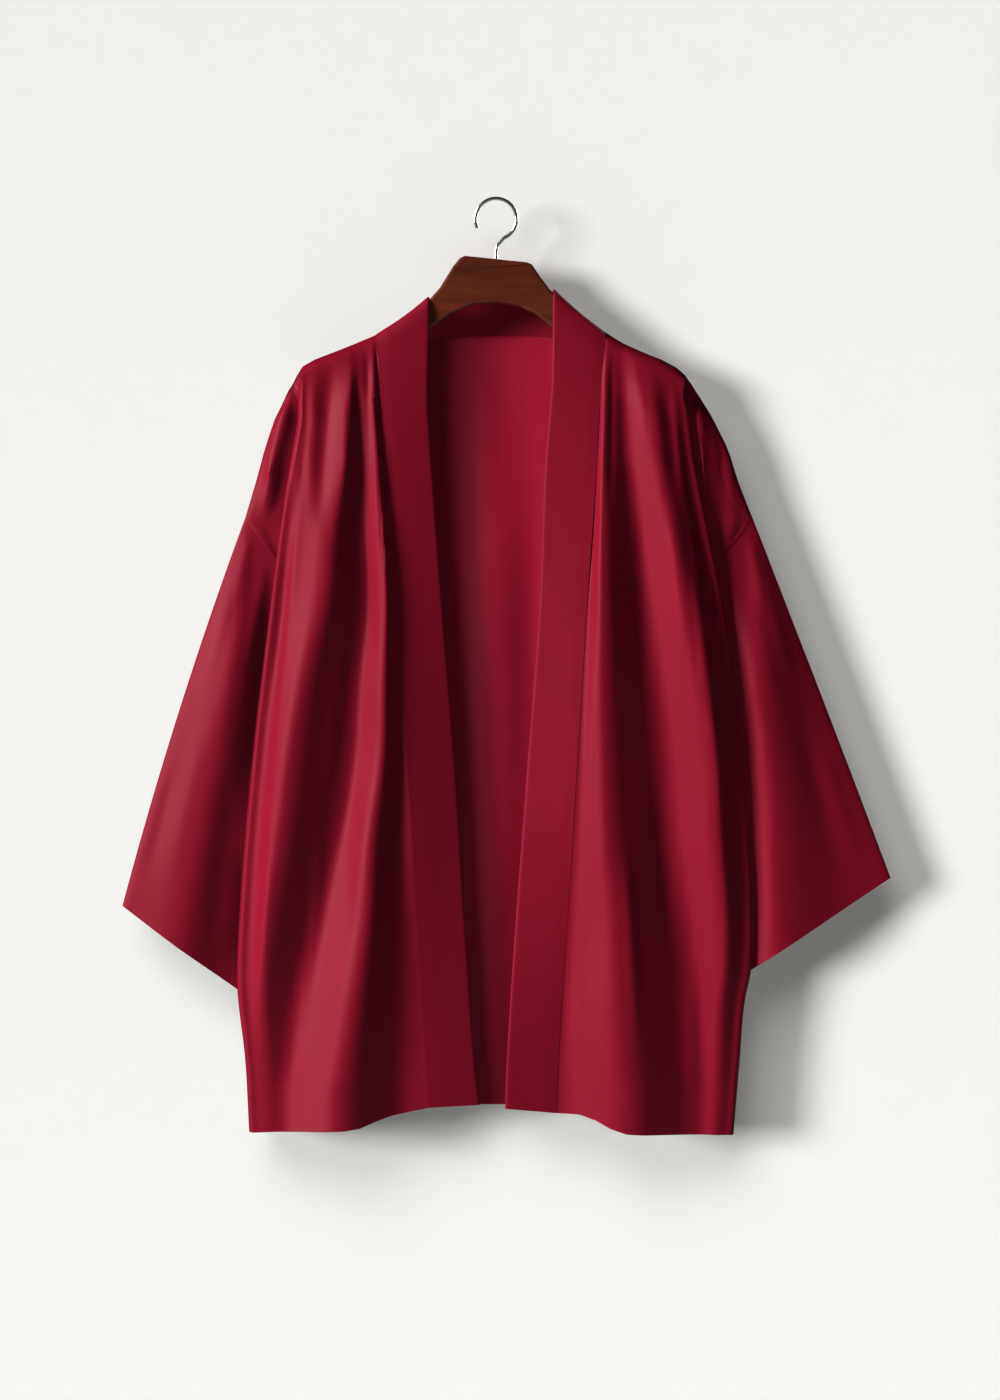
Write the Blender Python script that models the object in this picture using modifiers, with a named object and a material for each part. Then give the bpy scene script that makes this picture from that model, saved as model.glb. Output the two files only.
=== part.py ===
"""An open kimono coat that hangs on a contoured wooden hanger.

The origin is the hang point, the inside of the hook's crown. +Z is up, the fronts
face -Y, and the wearer's left is +X. "Out" is the distance from the middle plane
X = 0, and "drop" is the distance below the hang point.
"""

import math

import bpy
import bmesh
import numpy as np

MM = 0.001

# Cloth
WALL = 0.0012
SEAM_GAP = 0.0007
NECK_GAP = 0.0009
CORNER_GAP = 0.0012
CORNER_DEPTH = 0.016
EDGE_GAP = 0.0003
LINE_GAP = 0.0009

# The two sides of the coat
RIGHT = -1
LEFT = 1

# Grid of each cloth piece. A front's columns follow its fold lines, so many to a flank
FRONT_FLANKS = {RIGHT: (1, 2, 4, 4, 4), LEFT: (3, 4, 4, 4)}
FRONT_COLUMNS = 15
GUSSET_COLUMNS = 12
SHOULDER_SHARES = (0.2, 0.4, 0.6, 0.8, 1.0)
BAND_STRIPS = 4
BAND_FRONT_ROWS = 15
SLEEVE_ROWS = 9
SLEEVE_COLUMNS = 22

# Heights of the panels' rows: first by the fall below the top edge, then by drop. The
# armhole runs from the row at its top to the row at the armpit
ROW_FALLS = (0.0, 0.0012, 0.0045, 0.010, 0.020, 0.038, 0.062)
ARMHOLE_TOP = 0.320
ARMPIT = 0.420
ROW_DROPS = (0.285, ARMHOLE_TOP, 0.370, ARMPIT, 0.490, 0.560, 0.640, 0.720, 0.800, 0.868)
PANEL_ROWS = len(ROW_FALLS) + len(ROW_DROPS)

# Layers of the gusset, as depth from the plane Y = 0
LAYERS = (
    ("drop", "middle", "inner"),
    (163, 6.0, 2.6),
    (200, 8.5, 4.0),
    (260, 11.5, 5.0),
    (320, 12.5, 5.5),
    (420, 13.5, 4.5),
    (932, 14.5, 4.5),
)
LEAST_TURN = 0.003
EDGE_TURN_ANGLES = (-50, 0, 50, 90)
MIDDLE_SLACK = 0.0003
INNER_SLACK = 0.0008
INNER_TURN = 0.003
INNER_SHARES = (0.4, 0.75, 0.93, 1.0)
INNER_ROUNDNESS = 6

# Tops of the gusset's columns, along the shoulder line beyond the hanger's end
LEG_START = 0.001
LEG_SPAN = 0.014

# Depth of the cloth between the folds: shallow on the hanger, deeper below it
FRONT_BASE = 0.0235
BACK_MIDDLE = 0.008
BACK_SIDE = 0.022
BACK_SIDE_START = 0.10
BACK_SIDE_SPAN = 0.06
NECK_STAND = 0.019
NECK_STAND_START = 0.14
NECK_STAND_SPAN = 0.22
NECK_HALF = 0.055
NECK_TO_SHOULDER = 0.06
SHOULDER_DEPTH = 0.0095
DEPTH_FALL = 0.075
NECK_DROP = 0.134
ROLL = 0.010
SPREAD_FALL = 0.030
FAN_FALL = 0.026
FRONT_TURN_SHARE = 0.86
BACK_TURN_SHARE = 0.90

# Shoulder line, from the collar band's corner to the end of the hanger and on down
# the dropped shoulder to the top of the armhole
SHOULDER = {
    RIGHT: (
        ("out", "drop"),
        (118, 134.0), (121, 136), (140, 144), (160, 152), (181, 160), (193, 167),
        (199, 176), (203, 184), (208, 192), (215, 208), (221, 220), (231, 250),
        (239, 280), (248, 310), (251, 320),
    ),
    LEFT: (
        ("out", "drop"),
        (109, 132.5), (114, 136), (127, 144), (145, 152), (165, 160), (180, 168),
        (189, 176), (195, 184), (200, 192), (210, 208), (217, 220), (232, 250),
        (241, 280), (252, 308), (257, 320),
    ),
}
HANGER_END = {RIGHT: 0.193, LEFT: 0.187}

# Edges of the front panels: where the cloth folds back, and the gusset's inner fold
SIDES = {
    RIGHT: (
        ("drop", "edge", "inset"),
        (163, 194, 194), (185, 197, 194), (205, 197, 188), (220, 197, 184),
        (250, 202, 178), (280, 207, 173), (320, 213, 168), (420, 225, 160),
        (560, 241, 160), (720, 254, 162), (785, 256, 163), (860, 248, 163),
        (932, 244, 163),
    ),
    LEFT: (
        ("drop", "edge", "inset"),
        (163, 188, 188), (185, 190, 189), (205, 191, 184), (220, 193, 181),
        (250, 196, 177), (280, 201, 173), (320, 209, 168), (420, 228, 160),
        (560, 244, 160), (720, 254, 162), (770, 252, 163), (800, 246, 163),
        (860, 241, 163), (932, 235, 163),
    ),
}

# Armhole: from its top on the shoulder line in to the armpit, then the side seam
ARMHOLE = {
    RIGHT: (("drop", "out"), (320, 251), (420, 169), (932, 170)),
    LEFT: (("drop", "out"), (320, 257), (420, 169), (932, 170)),
}
ARMHOLE_DEPTH = 0.006

# Collar band: its seam with the front and its free edge
BAND = {
    RIGHT: (
        ("drop", "seam", "free", "free_depth"),
        (134, 118, 67, 11), (200, 115, 68, 16), (280, 106, 63, 18), (400, 100, 54, 19),
        (560, 88, 41, 18), (720, 78, 31, 18), (860, 69, 21, 18), (910, 66, 16, 18),
    ),
    LEFT: (
        ("drop", "seam", "free", "free_depth"),
        (134, 109, 57, 11), (180, 105, 56, 15), (270, 100, 49, 17), (400, 91, 44, 18),
        (560, 81, 32, 18), (720, 71, 20, 21), (860, 62, 11, 25), (915, 60, 9, 26),
    ),
}
BAND_TOP = {RIGHT: (0.143, 0.113), LEFT: (0.141, 0.105)}

# The band round the neck, from the right shoulder's front over the hanger, behind
# the neck and back over the left shoulder. S is the seam and F the free edge
NECK = (
    ("s_x", "s_y", "s_drop", "f_x", "f_y", "f_drop"),
    (-118, -9.3, 139.0, -67.0, -9.8, 104.0),
    (-118, -7.0, 135.6, -67.0, -7.2, 100.0),
    (-118, 0.0, 133.2, -67.0, 0.0, 97.4),
    (-117, 7.0, 135.6, -66.0, 8.0, 99.0),
    (-114, 10.5, 140.5, -62.0, 12.5, 98.6),
    (-104, 15.0, 141.5, -54.0, 17.0, 96.0),
    (-85, 21.0, 139.0, -42.0, 21.0, 92.5),
    (-60, 26.0, 136.0, -29.0, 24.0, 90.0),
    (-30, 29.5, 134.0, -14.0, 26.0, 88.5),
    (0, 30.5, 133.5, 0.0, 26.5, 88.0),
    (28, 29.5, 133.8, 13.0, 26.0, 88.0),
    (56, 26.0, 135.0, 26.0, 24.0, 88.0),
    (79, 21.0, 137.2, 37.0, 21.0, 88.4),
    (96, 15.0, 139.5, 46.0, 17.0, 89.6),
    (105, 10.5, 138.5, 52.5, 12.5, 91.4),
    (108, 7.0, 133.9, 56.5, 8.0, 91.6),
    (109, 0.0, 131.6, 57.5, 0.0, 89.8),
    (109, -7.0, 133.9, 57.5, -7.2, 92.4),
    (109, -9.3, 137.2, 57.5, -9.8, 96.4),
)
NECK_SAG = 0.0026
NECK_SAG_REACH = 0.012
BACK_NECK_END = {RIGHT: 0.1195, LEFT: 0.1105}
BAND_ROW_SPREAD = 0.55

# Hem, as drop by distance out
HEM = {
    RIGHT: (
        ("out", "drop"),
        (16, 903), (61, 904), (76, 907), (91, 910), (106, 913), (121, 918),
        (136, 924), (151, 926), (196, 928), (256, 931),
    ),
    LEFT: (
        ("out", "drop"),
        (9, 905), (29, 908), (44, 910), (89, 912), (104, 917), (119, 925),
        (134, 930), (149, 931), (194, 932), (256, 933),
    ),
}
BACK_HEM = 0.905
BACK_HEM_SIDE = 0.929
BACK_HEM_START = 0.03
BACK_HEM_SPAN = 0.17
BACK_INSET = 0.004
BACK_INSET_START = 0.2
BACK_INSET_SPAN = 0.1
HEM_DROP = 0.930
HEM_SEAM = 0.066
HEM_FREE = 0.016

# Fold lines of the fronts, from the collar band's seam to the folded edge: crests and
# valleys of the cloth, as the height over its base depth
FOLD_LINES = {
    RIGHT: {
        "seam": (
            ("drop", "height"),
            (150, 0), (220, 0.5), (330, 1), (400, 2), (560, 5), (640, 5), (720, 4),
            (800, 3), (932, 3),
        ),
        "between": (
            (
                ("drop", "out", "height"),
                (150, 119.8, 0), (180, 117.5, -2), (220, 116, -3), (270, 111, -3),
                (330, 107, -2), (400, 102.5, 1), (480, 98, 3), (560, 95, 3),
                (640, 93, 3.5), (720, 92, 3.5), (800, 90, 3), (932, 86, 3),
            ),
            (
                ("drop", "out", "height"),
                (150, 122.5, 0.5), (180, 121.5, 3), (220, 120.5, 6), (270, 116.5, 8.5),
                (330, 112, 11), (400, 108, 13.5), (480, 110, 16), (560, 112, 18),
                (640, 123, 21), (720, 128, 25), (800, 139, 28), (932, 160, 28),
            ),
            (
                ("drop", "out", "height"),
                (150, 134, 0), (220, 137, -1.5), (330, 132, -2), (400, 129, -2),
                (480, 138, -2), (560, 144, -2), (640, 159, -2), (720, 178, -2.5),
                (800, 198, -2.5), (932, 222, 0),
            ),
            (
                ("drop", "out", "height"),
                (150, 146, 0.5), (180, 146, 3), (220, 147, 7), (270, 152, 11),
                (330, 163, 14), (400, 171, 17), (480, 190, 18), (560, 204, 18),
                (640, 214, 17), (720, 226, 13), (800, 237, 8), (932, 242, 3),
            ),
        ),
        "edge": (
            ("drop", "height"),
            (150, 0), (220, -1), (330, -3), (480, -4), (640, -3), (800, -2), (932, -3),
        ),
    },
    LEFT: {
        "seam": (
            ("drop", "height"),
            (150, 0), (220, 1), (330, 3), (400, 4), (560, 6), (640, 4), (720, 0),
            (800, -3), (932, -4),
        ),
        "between": (
            (
                ("drop", "out", "height"),
                (150, 111, 0.5), (180, 108.5, 3), (220, 107, 6), (270, 106, 9),
                (330, 105, 12), (400, 104.5, 15.5), (480, 105, 17), (560, 107, 18.5),
                (640, 111, 20), (720, 120, 21), (800, 124, 22), (932, 134, 19),
            ),
            (
                ("drop", "out", "height"),
                (150, 124, 0), (220, 128, -1.5), (330, 140, -2.5), (400, 148, -3),
                (480, 158, -3), (560, 166, -3), (640, 175, -3), (720, 186, -3),
                (800, 197, -3), (932, 206, -3),
            ),
            (
                ("drop", "out", "height"),
                (150, 136, 0.5), (180, 143, 4), (220, 151, 9), (270, 163, 11),
                (330, 175, 13), (400, 192, 16), (480, 206, 16), (560, 217, 14.5),
                (640, 220, 13), (720, 229, 9), (800, 232, 6), (932, 230, 4),
            ),
        ),
        "edge": (
            ("drop", "height"),
            (150, 0), (220, -1), (330, -3), (480, -4), (640, -4), (800, -3), (932, -3),
        ),
    },
}
CREST_ROUND = 0.28

# Folds of the back, from the right side to the left
BACK_FOLDS = (
    ("top_x", "hem_x", "height", "width"),
    (-160, -205, 12, 24),
    (-112, -128, 14, 26),
    (-38, -46, 8, 28),
    (34, 42, 9, 26),
    (104, 118, 14, 28),
    (152, 196, 12, 24),
)
BACK_FOLD_START = 0.16
BACK_FOLD_SPAN = 0.30

# Sleeves: corners of the cuff, how far the sheets swell, and the crest of that swell as
# a share of the sleeve's width from its upper fold, with the widths of its two flanks
SLEEVE = {
    RIGHT: {
        "tip": (0.373, 0.706), "inner": (0.190, 0.838), "bow": 0.005, "swell": 0.016,
        "crest_top": 0.26, "crest_cuff": 0.30, "outer": 0.25, "inward": 0.19,
    },
    LEFT: {
        "tip": (0.394, 0.678), "inner": (0.190, 0.811), "bow": 0.001, "swell": 0.017,
        "crest_top": 0.22, "crest_cuff": 0.56, "outer": 0.28, "inward": 0.12,
    },
}
SWELL_START = 0.35
ARMPIT_OUT = 0.1725

# Hanger, in the plane Y = 0
HANGER_HALF = 0.0065
HANGER_ROUND = 0.004
HANGER_CORNER = 60
HANGER_TOP = (
    ("x", "drop"),
    (-190, 171.0), (-181, 163.0), (-160, 154.6), (-140, 146.6), (-121, 139.0),
    (-106, 131.2), (-96, 123.6), (-84, 115.4), (-73, 106.0), (-66, 99.6),
    (-56, 88), (-43, 67), (-36, 58.5), (-31, 56.3),
    (31, 62.8), (36, 65), (45, 78), (54, 90.2), (65, 101), (74, 108.6), (82, 116),
    (91, 123.8), (102, 131.6), (114, 139.4), (127, 146.8), (145, 154.8),
    (165, 163.0), (178, 170.6), (184, 177),
)
HANGER_BOTTOM = (
    ("x", "drop"),
    (184, 186), (176, 191), (160, 184), (130, 171), (100, 152), (75, 135),
    (57, 128), (40, 114.5), (22, 106), (0, 102.5), (-24, 104.5), (-44, 113.5),
    (-64, 127), (-82, 136), (-105, 153), (-135, 170), (-165, 181), (-182, 187),
    (-190, 181),
)

# Hook
HOOK_WIRE = 0.0017
HOOK_INSIDE = 0.019
HOOK_FOOT = 0.0588
HOOK_START = -68
HOOK_END = 205
HOOK_STEPS = 18
HOOK_STRAIGHT = 0.006
HOOK_LEAN = 0.001

# Finishes: colour, roughness and metallic value
SATIN = ((0.30, 0.008, 0.022, 1.0), 0.45, 0.0)
WOOD = ((0.13, 0.04, 0.018, 1.0), 0.35, 0.0)
STEEL = ((0.62, 0.62, 0.64, 1.0), 0.25, 1.0)

# Points closer than this are one point
WELD_CLOTH = 0.00001
WELD_HANGER = 0.0001


def column(table, name):
    """One named column of a table, in metres."""
    place = table[0].index(name)
    return np.array([row[place] for row in table[1:]], dtype=float) * MM


def straight(table, key, name, at):
    """A column's value at a key, straight between the rows."""
    return float(np.interp(at, column(table, key), column(table, name)))


def smooth(table, name, at):
    """A column's value at a place of the first column, on a smooth curve."""
    places = column(table, table[0][0])
    values = column(table, name)
    at = min(max(at, places[0]), places[-1])
    step = np.diff(places)
    slope = np.diff(values) / step
    tangent = np.concatenate(([slope[0]], (slope[:-1] + slope[1:]) / 2, [slope[-1]]))
    i = min(int(np.searchsorted(places, at, side="right")) - 1, len(step) - 1)
    t = (at - places[i]) / step[i]
    rise = (3 - 2 * t) * t * t
    lead = t * (1 - t) ** 2 * step[i]
    tail = t * t * (t - 1) * step[i]
    blend = values[i] + (values[i + 1] - values[i]) * rise
    return float(blend + lead * tangent[i] + tail * tangent[i + 1])


def ease(t):
    t = min(max(t, 0.0), 1.0)
    return t * t * (3 - 2 * t)


def quarter_round(fall, radius):
    """0 at the top edge, 1 from one radius below it, round between."""
    t = min(max(fall / radius, 0.0), 1.0)
    return math.sqrt(1 - (1 - t) ** 2)


def shallow(drop):
    """1 on the hanger, falling towards 0 further down."""
    return math.exp(-max(drop - NECK_DROP, 0.0) / DEPTH_FALL)


def flank(t):
    """A fold's flank from 0 to 1: straight in the middle, round at both ends."""
    t = min(max(t, 0.0), 1.0)
    slope = 1 / (1 - CREST_ROUND)
    near = min(t, 1 - t)
    if near < CREST_ROUND:
        half = slope * near * near / (2 * CREST_ROUND)
    else:
        half = slope * (near - CREST_ROUND / 2)
    return half if t < 0.5 else 1 - half


def fold_places(side, drop):
    """Each fold line's distance out and height at a drop, from the seam to the edge."""
    lines = FOLD_LINES[side]
    places = [(smooth(BAND[side], "seam", drop), smooth(lines["seam"], "height", drop))]
    for line in lines["between"]:
        places.append((smooth(line, "out", drop), smooth(line, "height", drop)))
    places.append((smooth(SIDES[side], "edge", drop), smooth(lines["edge"], "height", drop)))
    return places


def front_depth(side, out, drop):
    """How far a front panel stands in front of the plane Y = 0."""
    places = fold_places(side, drop)
    depth = FRONT_BASE - (FRONT_BASE - SHOULDER_DEPTH) * shallow(drop) + places[0][1]
    for (start, low), (end, high) in zip(places, places[1:]):
        depth += (high - low) * flank((out - start) / max(end - start, MM))
    return depth


def front_share(side, i, drop):
    """Column i's share of the way from the seam to the folded edge."""
    places = [out for out, height in fold_places(side, drop)]
    for start, end, count in zip(places, places[1:], FRONT_FLANKS[side]):
        if i <= count:
            out = start + (end - start) * i / count
            return (out - places[0]) / (places[-1] - places[0])
        i -= count
    return 1.0


def back_depth(x, drop):
    """How far the back panel stands behind the plane Y = 0."""
    out = abs(x)
    sideways = ease((out - BACK_SIDE_START) / BACK_SIDE_SPAN)
    deep = BACK_MIDDLE + (BACK_SIDE - BACK_MIDDLE) * sideways
    shoulder = ease((out - NECK_HALF) / NECK_TO_SHOULDER)
    depth = deep - (deep - SHOULDER_DEPTH) * shallow(drop) * shoulder
    stand = 1 - ease((drop - NECK_STAND_START) / NECK_STAND_SPAN)
    depth += NECK_STAND * (1 - shoulder) * stand
    down = ease((drop - BACK_FOLD_START) / BACK_FOLD_SPAN)
    along = min(max((drop - NECK_DROP) / (BACK_HEM - NECK_DROP), 0.0), 1.0)
    names = BACK_FOLDS[0]
    for row in BACK_FOLDS[1:]:
        fold = dict(zip(names, (value * MM for value in row)))
        crest = fold["top_x"] + (fold["hem_x"] - fold["top_x"]) * along
        depth += down * fold["height"] * math.exp(-(((x - crest) / fold["width"]) ** 2))
    return depth


def armhole_depth(drop):
    """Depth of the armhole's edge: nothing at its top and at the armpit."""
    t = min(max((drop - ARMHOLE_TOP) / (ARMPIT - ARMHOLE_TOP), 0.0), 1.0)
    return ARMHOLE_DEPTH * 2 * math.sqrt(t * (1 - t))


def outer_line(side, drop):
    """The panel's outer line: dropped shoulder, armhole, then side seam."""
    if drop < ARMHOLE_TOP:
        return straight(SHOULDER[side], "drop", "out", drop)
    return straight(ARMHOLE[side], "drop", "out", drop)


def gusset_path(side, drop, face_depth, edge):
    """The fold at the panel's side, as points (out, depth) after the front layer.

    The cloth turns back at the edge, runs in behind the front layer, turns again at
    the inset and runs out to the dropped shoulder, the armhole or the side seam.
    """
    middle = smooth(LAYERS, "middle", drop)
    inner = smooth(LAYERS, "inner", drop)
    inset = smooth(SIDES[side], "inset", drop)
    outer = outer_line(side, drop)
    last = armhole_depth(drop) + LINE_GAP
    turn = (face_depth - middle) / 2
    centre = (face_depth + middle) / 2
    points = []
    for angle in EDGE_TURN_ANGLES:
        swing = math.radians(angle)
        points.append((edge - turn + turn * math.cos(swing), centre - turn * math.sin(swing)))
    start = points[-1][0]
    back = inset + INNER_TURN
    points.append(((start + back) / 2, middle - MIDDLE_SLACK))
    points.append((back, middle - INNER_SLACK))
    points.append((inset, (middle + inner) / 2))
    points.append((back, inner))
    for share in INNER_SHARES:
        rounding = math.sqrt(1 - share ** INNER_ROUNDNESS)
        points.append((back + (outer - back) * share, last + (inner - last) * rounding))
    return points


def grid_mesh(name, columns, rows, place, closed=False):
    """A grid whose point (i, j) is moved to place(i, j)."""
    mesh_data = bmesh.new()
    bmesh.ops.create_grid(mesh_data, x_segments=columns, y_segments=rows, size=1.0)
    for vertex in mesh_data.verts:
        i = round((vertex.co.x + 1) / 2 * columns)
        j = round((vertex.co.y + 1) / 2 * rows)
        vertex.co = place(i, j)
    if closed:
        bmesh.ops.remove_doubles(mesh_data, verts=mesh_data.verts, dist=WELD_CLOTH)
    mesh = bpy.data.meshes.new(name)
    mesh_data.to_mesh(mesh)
    mesh_data.free()
    return mesh


def cloth(name, mesh, material, collection):
    """A cloth piece: an open surface with a wall's thickness."""
    piece = bpy.data.objects.new(name, mesh)
    collection.objects.link(piece)
    mesh.materials.append(material)
    mesh.shade_smooth()
    wall = piece.modifiers.new("wall", "SOLIDIFY")
    wall.thickness = WALL
    wall.offset = 0.0
    wall.use_even_offset = True
    return piece


def row_drop(j, top_drop, hem_drop):
    """Drop of row j in a column that runs from its top to the hem."""
    if j < len(ROW_FALLS):
        return top_drop + ROW_FALLS[j]
    if j < PANEL_ROWS:
        return ROW_DROPS[j - len(ROW_FALLS)]
    return hem_drop


def leg_top(side, share):
    """Top of the gusset's columns, spread along the end of the shoulder line."""
    end = HANGER_END[side]
    out = end + LEG_START + LEG_SPAN * share
    return out, straight(SHOULDER[side], "out", "drop", out)


def front_layer(side, i, j, layer_edge):
    """Point (out, depth, drop) of the front layer at column i and row j."""
    seam_top = straight(BAND[side], "drop", "seam", NECK_DROP) + SEAM_GAP
    top_out = seam_top + (HANGER_END[side] - seam_top) * front_share(side, i, NECK_DROP)
    top_drop = straight(SHOULDER[side], "out", "drop", top_out)
    hem_edge = smooth(SIDES[side], "edge", HEM_DROP)
    hem_out = HEM_SEAM + (hem_edge - HEM_SEAM) * front_share(side, i, HEM_DROP)
    drop = row_drop(j, top_drop, straight(HEM[side], "out", "drop", hem_out))
    fall = drop - top_drop
    edge, face = layer_edge(drop)
    seam = smooth(BAND[side], "seam", drop) + SEAM_GAP
    turn = (face - smooth(LAYERS, "middle", drop)) / 2
    share = front_share(side, i, drop)
    out = seam + (edge - turn - seam) * share
    out = top_out + (out - top_out) * ease(fall / SPREAD_FALL)
    depth = front_depth(side, out, drop)
    depth += (face - depth) * ease((share - FRONT_TURN_SHARE) / (1 - FRONT_TURN_SHARE))
    depth = EDGE_GAP + (depth - EDGE_GAP) * quarter_round(fall, ROLL)
    return out, depth, drop


def gusset_layer(side, index, j, hem_drop, layer_edge):
    """Point (out, depth, drop) of the gusset's column number index, from 1, at row j."""
    top_out, top_drop = leg_top(side, index / GUSSET_COLUMNS)
    drop = row_drop(j, top_drop, hem_drop)
    edge, face = layer_edge(drop)
    out, depth = gusset_path(side, drop, face, edge)[index - 1]
    opened = ease((drop - top_drop) / FAN_FALL)
    out = top_out + (out - top_out) * opened
    depth = LINE_GAP + (depth - LINE_GAP) * opened
    if index == GUSSET_COLUMNS and drop < ARMHOLE_TOP:
        out = outer_line(side, drop)
        depth = LINE_GAP
    return out, depth, drop


def build_front(side, name, material, collection):
    hem_edge = smooth(SIDES[side], "edge", HEM_DROP)
    hem_drop = straight(HEM[side], "out", "drop", hem_edge)

    def layer_edge(drop):
        edge = smooth(SIDES[side], "edge", drop)
        face = front_depth(side, edge, drop)
        return edge, max(face, smooth(LAYERS, "middle", drop) + LEAST_TURN)

    def place(i, j):
        if i <= FRONT_COLUMNS:
            out, depth, drop = front_layer(side, i, j, layer_edge)
        else:
            index = i - FRONT_COLUMNS
            out, depth, drop = gusset_layer(side, index, j, hem_drop, layer_edge)
        return (side * out, -depth, -drop)

    mesh = grid_mesh(name, FRONT_COLUMNS + GUSSET_COLUMNS, PANEL_ROWS, place)
    return cloth(name, mesh, material, collection)


def neck_rows():
    """The band's seam and free edge round the neck, as points (x, y, z)."""
    names = NECK[0]
    rows = []
    for row in NECK[1:]:
        at = dict(zip(names, (value * MM for value in row)))
        seam = np.array((at["s_x"], at["s_y"], -at["s_drop"]))
        free = np.array((at["f_x"], at["f_y"], -at["f_drop"]))
        rows.append((seam, free))
    return rows


def shoulder_tops(side):
    """Points (x, y, drop) of the back's top edge along one shoulder, from the neck out."""
    inner = BACK_NECK_END[side]
    points = []
    for share in SHOULDER_SHARES:
        out = inner + (HANGER_END[side] - inner) * share
        drop = straight(SHOULDER[side], "out", "drop", out)
        points.append((side * out, EDGE_GAP, drop))
    return points


def back_top():
    """Top edge of the back from the right shoulder's end to the left one's."""
    points = shoulder_tops(RIGHT)[::-1]
    for seam, free in neck_rows()[2:-2]:
        along = (seam - free) / np.linalg.norm(seam - free)
        gap = CORNER_GAP if abs(seam[1]) < CORNER_DEPTH else NECK_GAP
        edge = seam + along * gap
        points.append((edge[0], max(edge[1], EDGE_GAP), -edge[2]))
    return points + shoulder_tops(LEFT)


def back_hem(x):
    rise = ease((abs(x) - BACK_HEM_START) / BACK_HEM_SPAN)
    return BACK_HEM + (BACK_HEM_SIDE - BACK_HEM) * rise


def build_back(name, material, collection):
    tops = back_top()
    middle_count = len(tops) - 1

    def back_edge(side):
        def layer_edge(drop):
            inset = BACK_INSET * ease((drop - BACK_INSET_START) / BACK_INSET_SPAN)
            edge = smooth(SIDES[side], "edge", drop) - inset
            face = back_depth(side * edge, drop)
            return edge, max(face, smooth(LAYERS, "middle", drop) + LEAST_TURN)
        return layer_edge

    def gusset(side, index, j):
        out, depth, drop = gusset_layer(side, index, j, BACK_HEM_SIDE, back_edge(side))
        return (side * out, depth, -drop)

    def layer(index, j):
        top_x, top_y, top_drop = tops[index]
        side = RIGHT if top_x < 0 else LEFT
        t = abs(top_x) / HANGER_END[side]
        hem_edge = back_edge(side)(BACK_HEM_SIDE)[0]
        drop = row_drop(j, top_drop, back_hem(t * hem_edge))
        fall = drop - top_drop
        edge, face = back_edge(side)(drop)
        turn = (face - smooth(LAYERS, "middle", drop)) / 2
        x = side * t * (edge - turn)
        x = top_x + (x - top_x) * ease(fall / SPREAD_FALL)
        depth = back_depth(x, drop)
        depth += (face - depth) * ease((t - BACK_TURN_SHARE) / (1 - BACK_TURN_SHARE))
        depth = top_y + (depth - top_y) * quarter_round(fall, ROLL)
        return (x, depth, -drop)

    def place(i, j):
        if i < GUSSET_COLUMNS:
            return gusset(RIGHT, GUSSET_COLUMNS - i, j)
        if i <= GUSSET_COLUMNS + middle_count:
            return layer(i - GUSSET_COLUMNS, j)
        return gusset(LEFT, i - GUSSET_COLUMNS - middle_count, j)

    mesh = grid_mesh(name, middle_count + 2 * GUSSET_COLUMNS, PANEL_ROWS, place)
    return cloth(name, mesh, material, collection)


def band_front_rows(side):
    """Seam and free edge of the band down one front, from the neck to the hem."""
    seam_hem = straight(HEM[side], "out", "drop", HEM_SEAM)
    free_hem = straight(HEM[side], "out", "drop", HEM_FREE)
    seam_top, free_top = BAND_TOP[side]
    rows = []
    for k in range(BAND_FRONT_ROWS + 1):
        share = k / BAND_FRONT_ROWS
        share = share * (BAND_ROW_SPREAD + (1 - BAND_ROW_SPREAD) * share)
        seam_drop = seam_top + (seam_hem - seam_top) * share
        free_drop = free_top + (free_hem - free_top) * share
        seam_out = smooth(BAND[side], "seam", seam_drop)
        free_out = smooth(BAND[side], "free", free_drop)
        seam_depth = front_depth(side, seam_out, seam_drop)
        fall = seam_drop - NECK_DROP
        seam_depth = EDGE_GAP + (seam_depth - EDGE_GAP) * quarter_round(fall, ROLL)
        free_depth = smooth(BAND[side], "free_depth", free_drop)
        seam = np.array((side * seam_out, -seam_depth, -seam_drop))
        free = np.array((side * free_out, -free_depth, -free_drop))
        rows.append((seam, free))
    return rows


def build_band(name, material, collection):
    right = band_front_rows(RIGHT)[::-1]
    neck = neck_rows()
    rows = right + neck + band_front_rows(LEFT)
    first = len(right)
    last = first + len(neck)

    def place(i, j):
        seam, free = rows[j]
        t = i / BAND_STRIPS
        point = seam + (free - seam) * t
        if first <= j < last:
            over = max(0.0, 1 - abs(seam[1]) / NECK_SAG_REACH)
            point = point + np.array((0.0, 0.0, -NECK_SAG * over * 4 * t * (1 - t)))
        return tuple(point)

    mesh = grid_mesh(name, BAND_STRIPS, len(rows) - 1, place)
    return cloth(name, mesh, material, collection)


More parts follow.
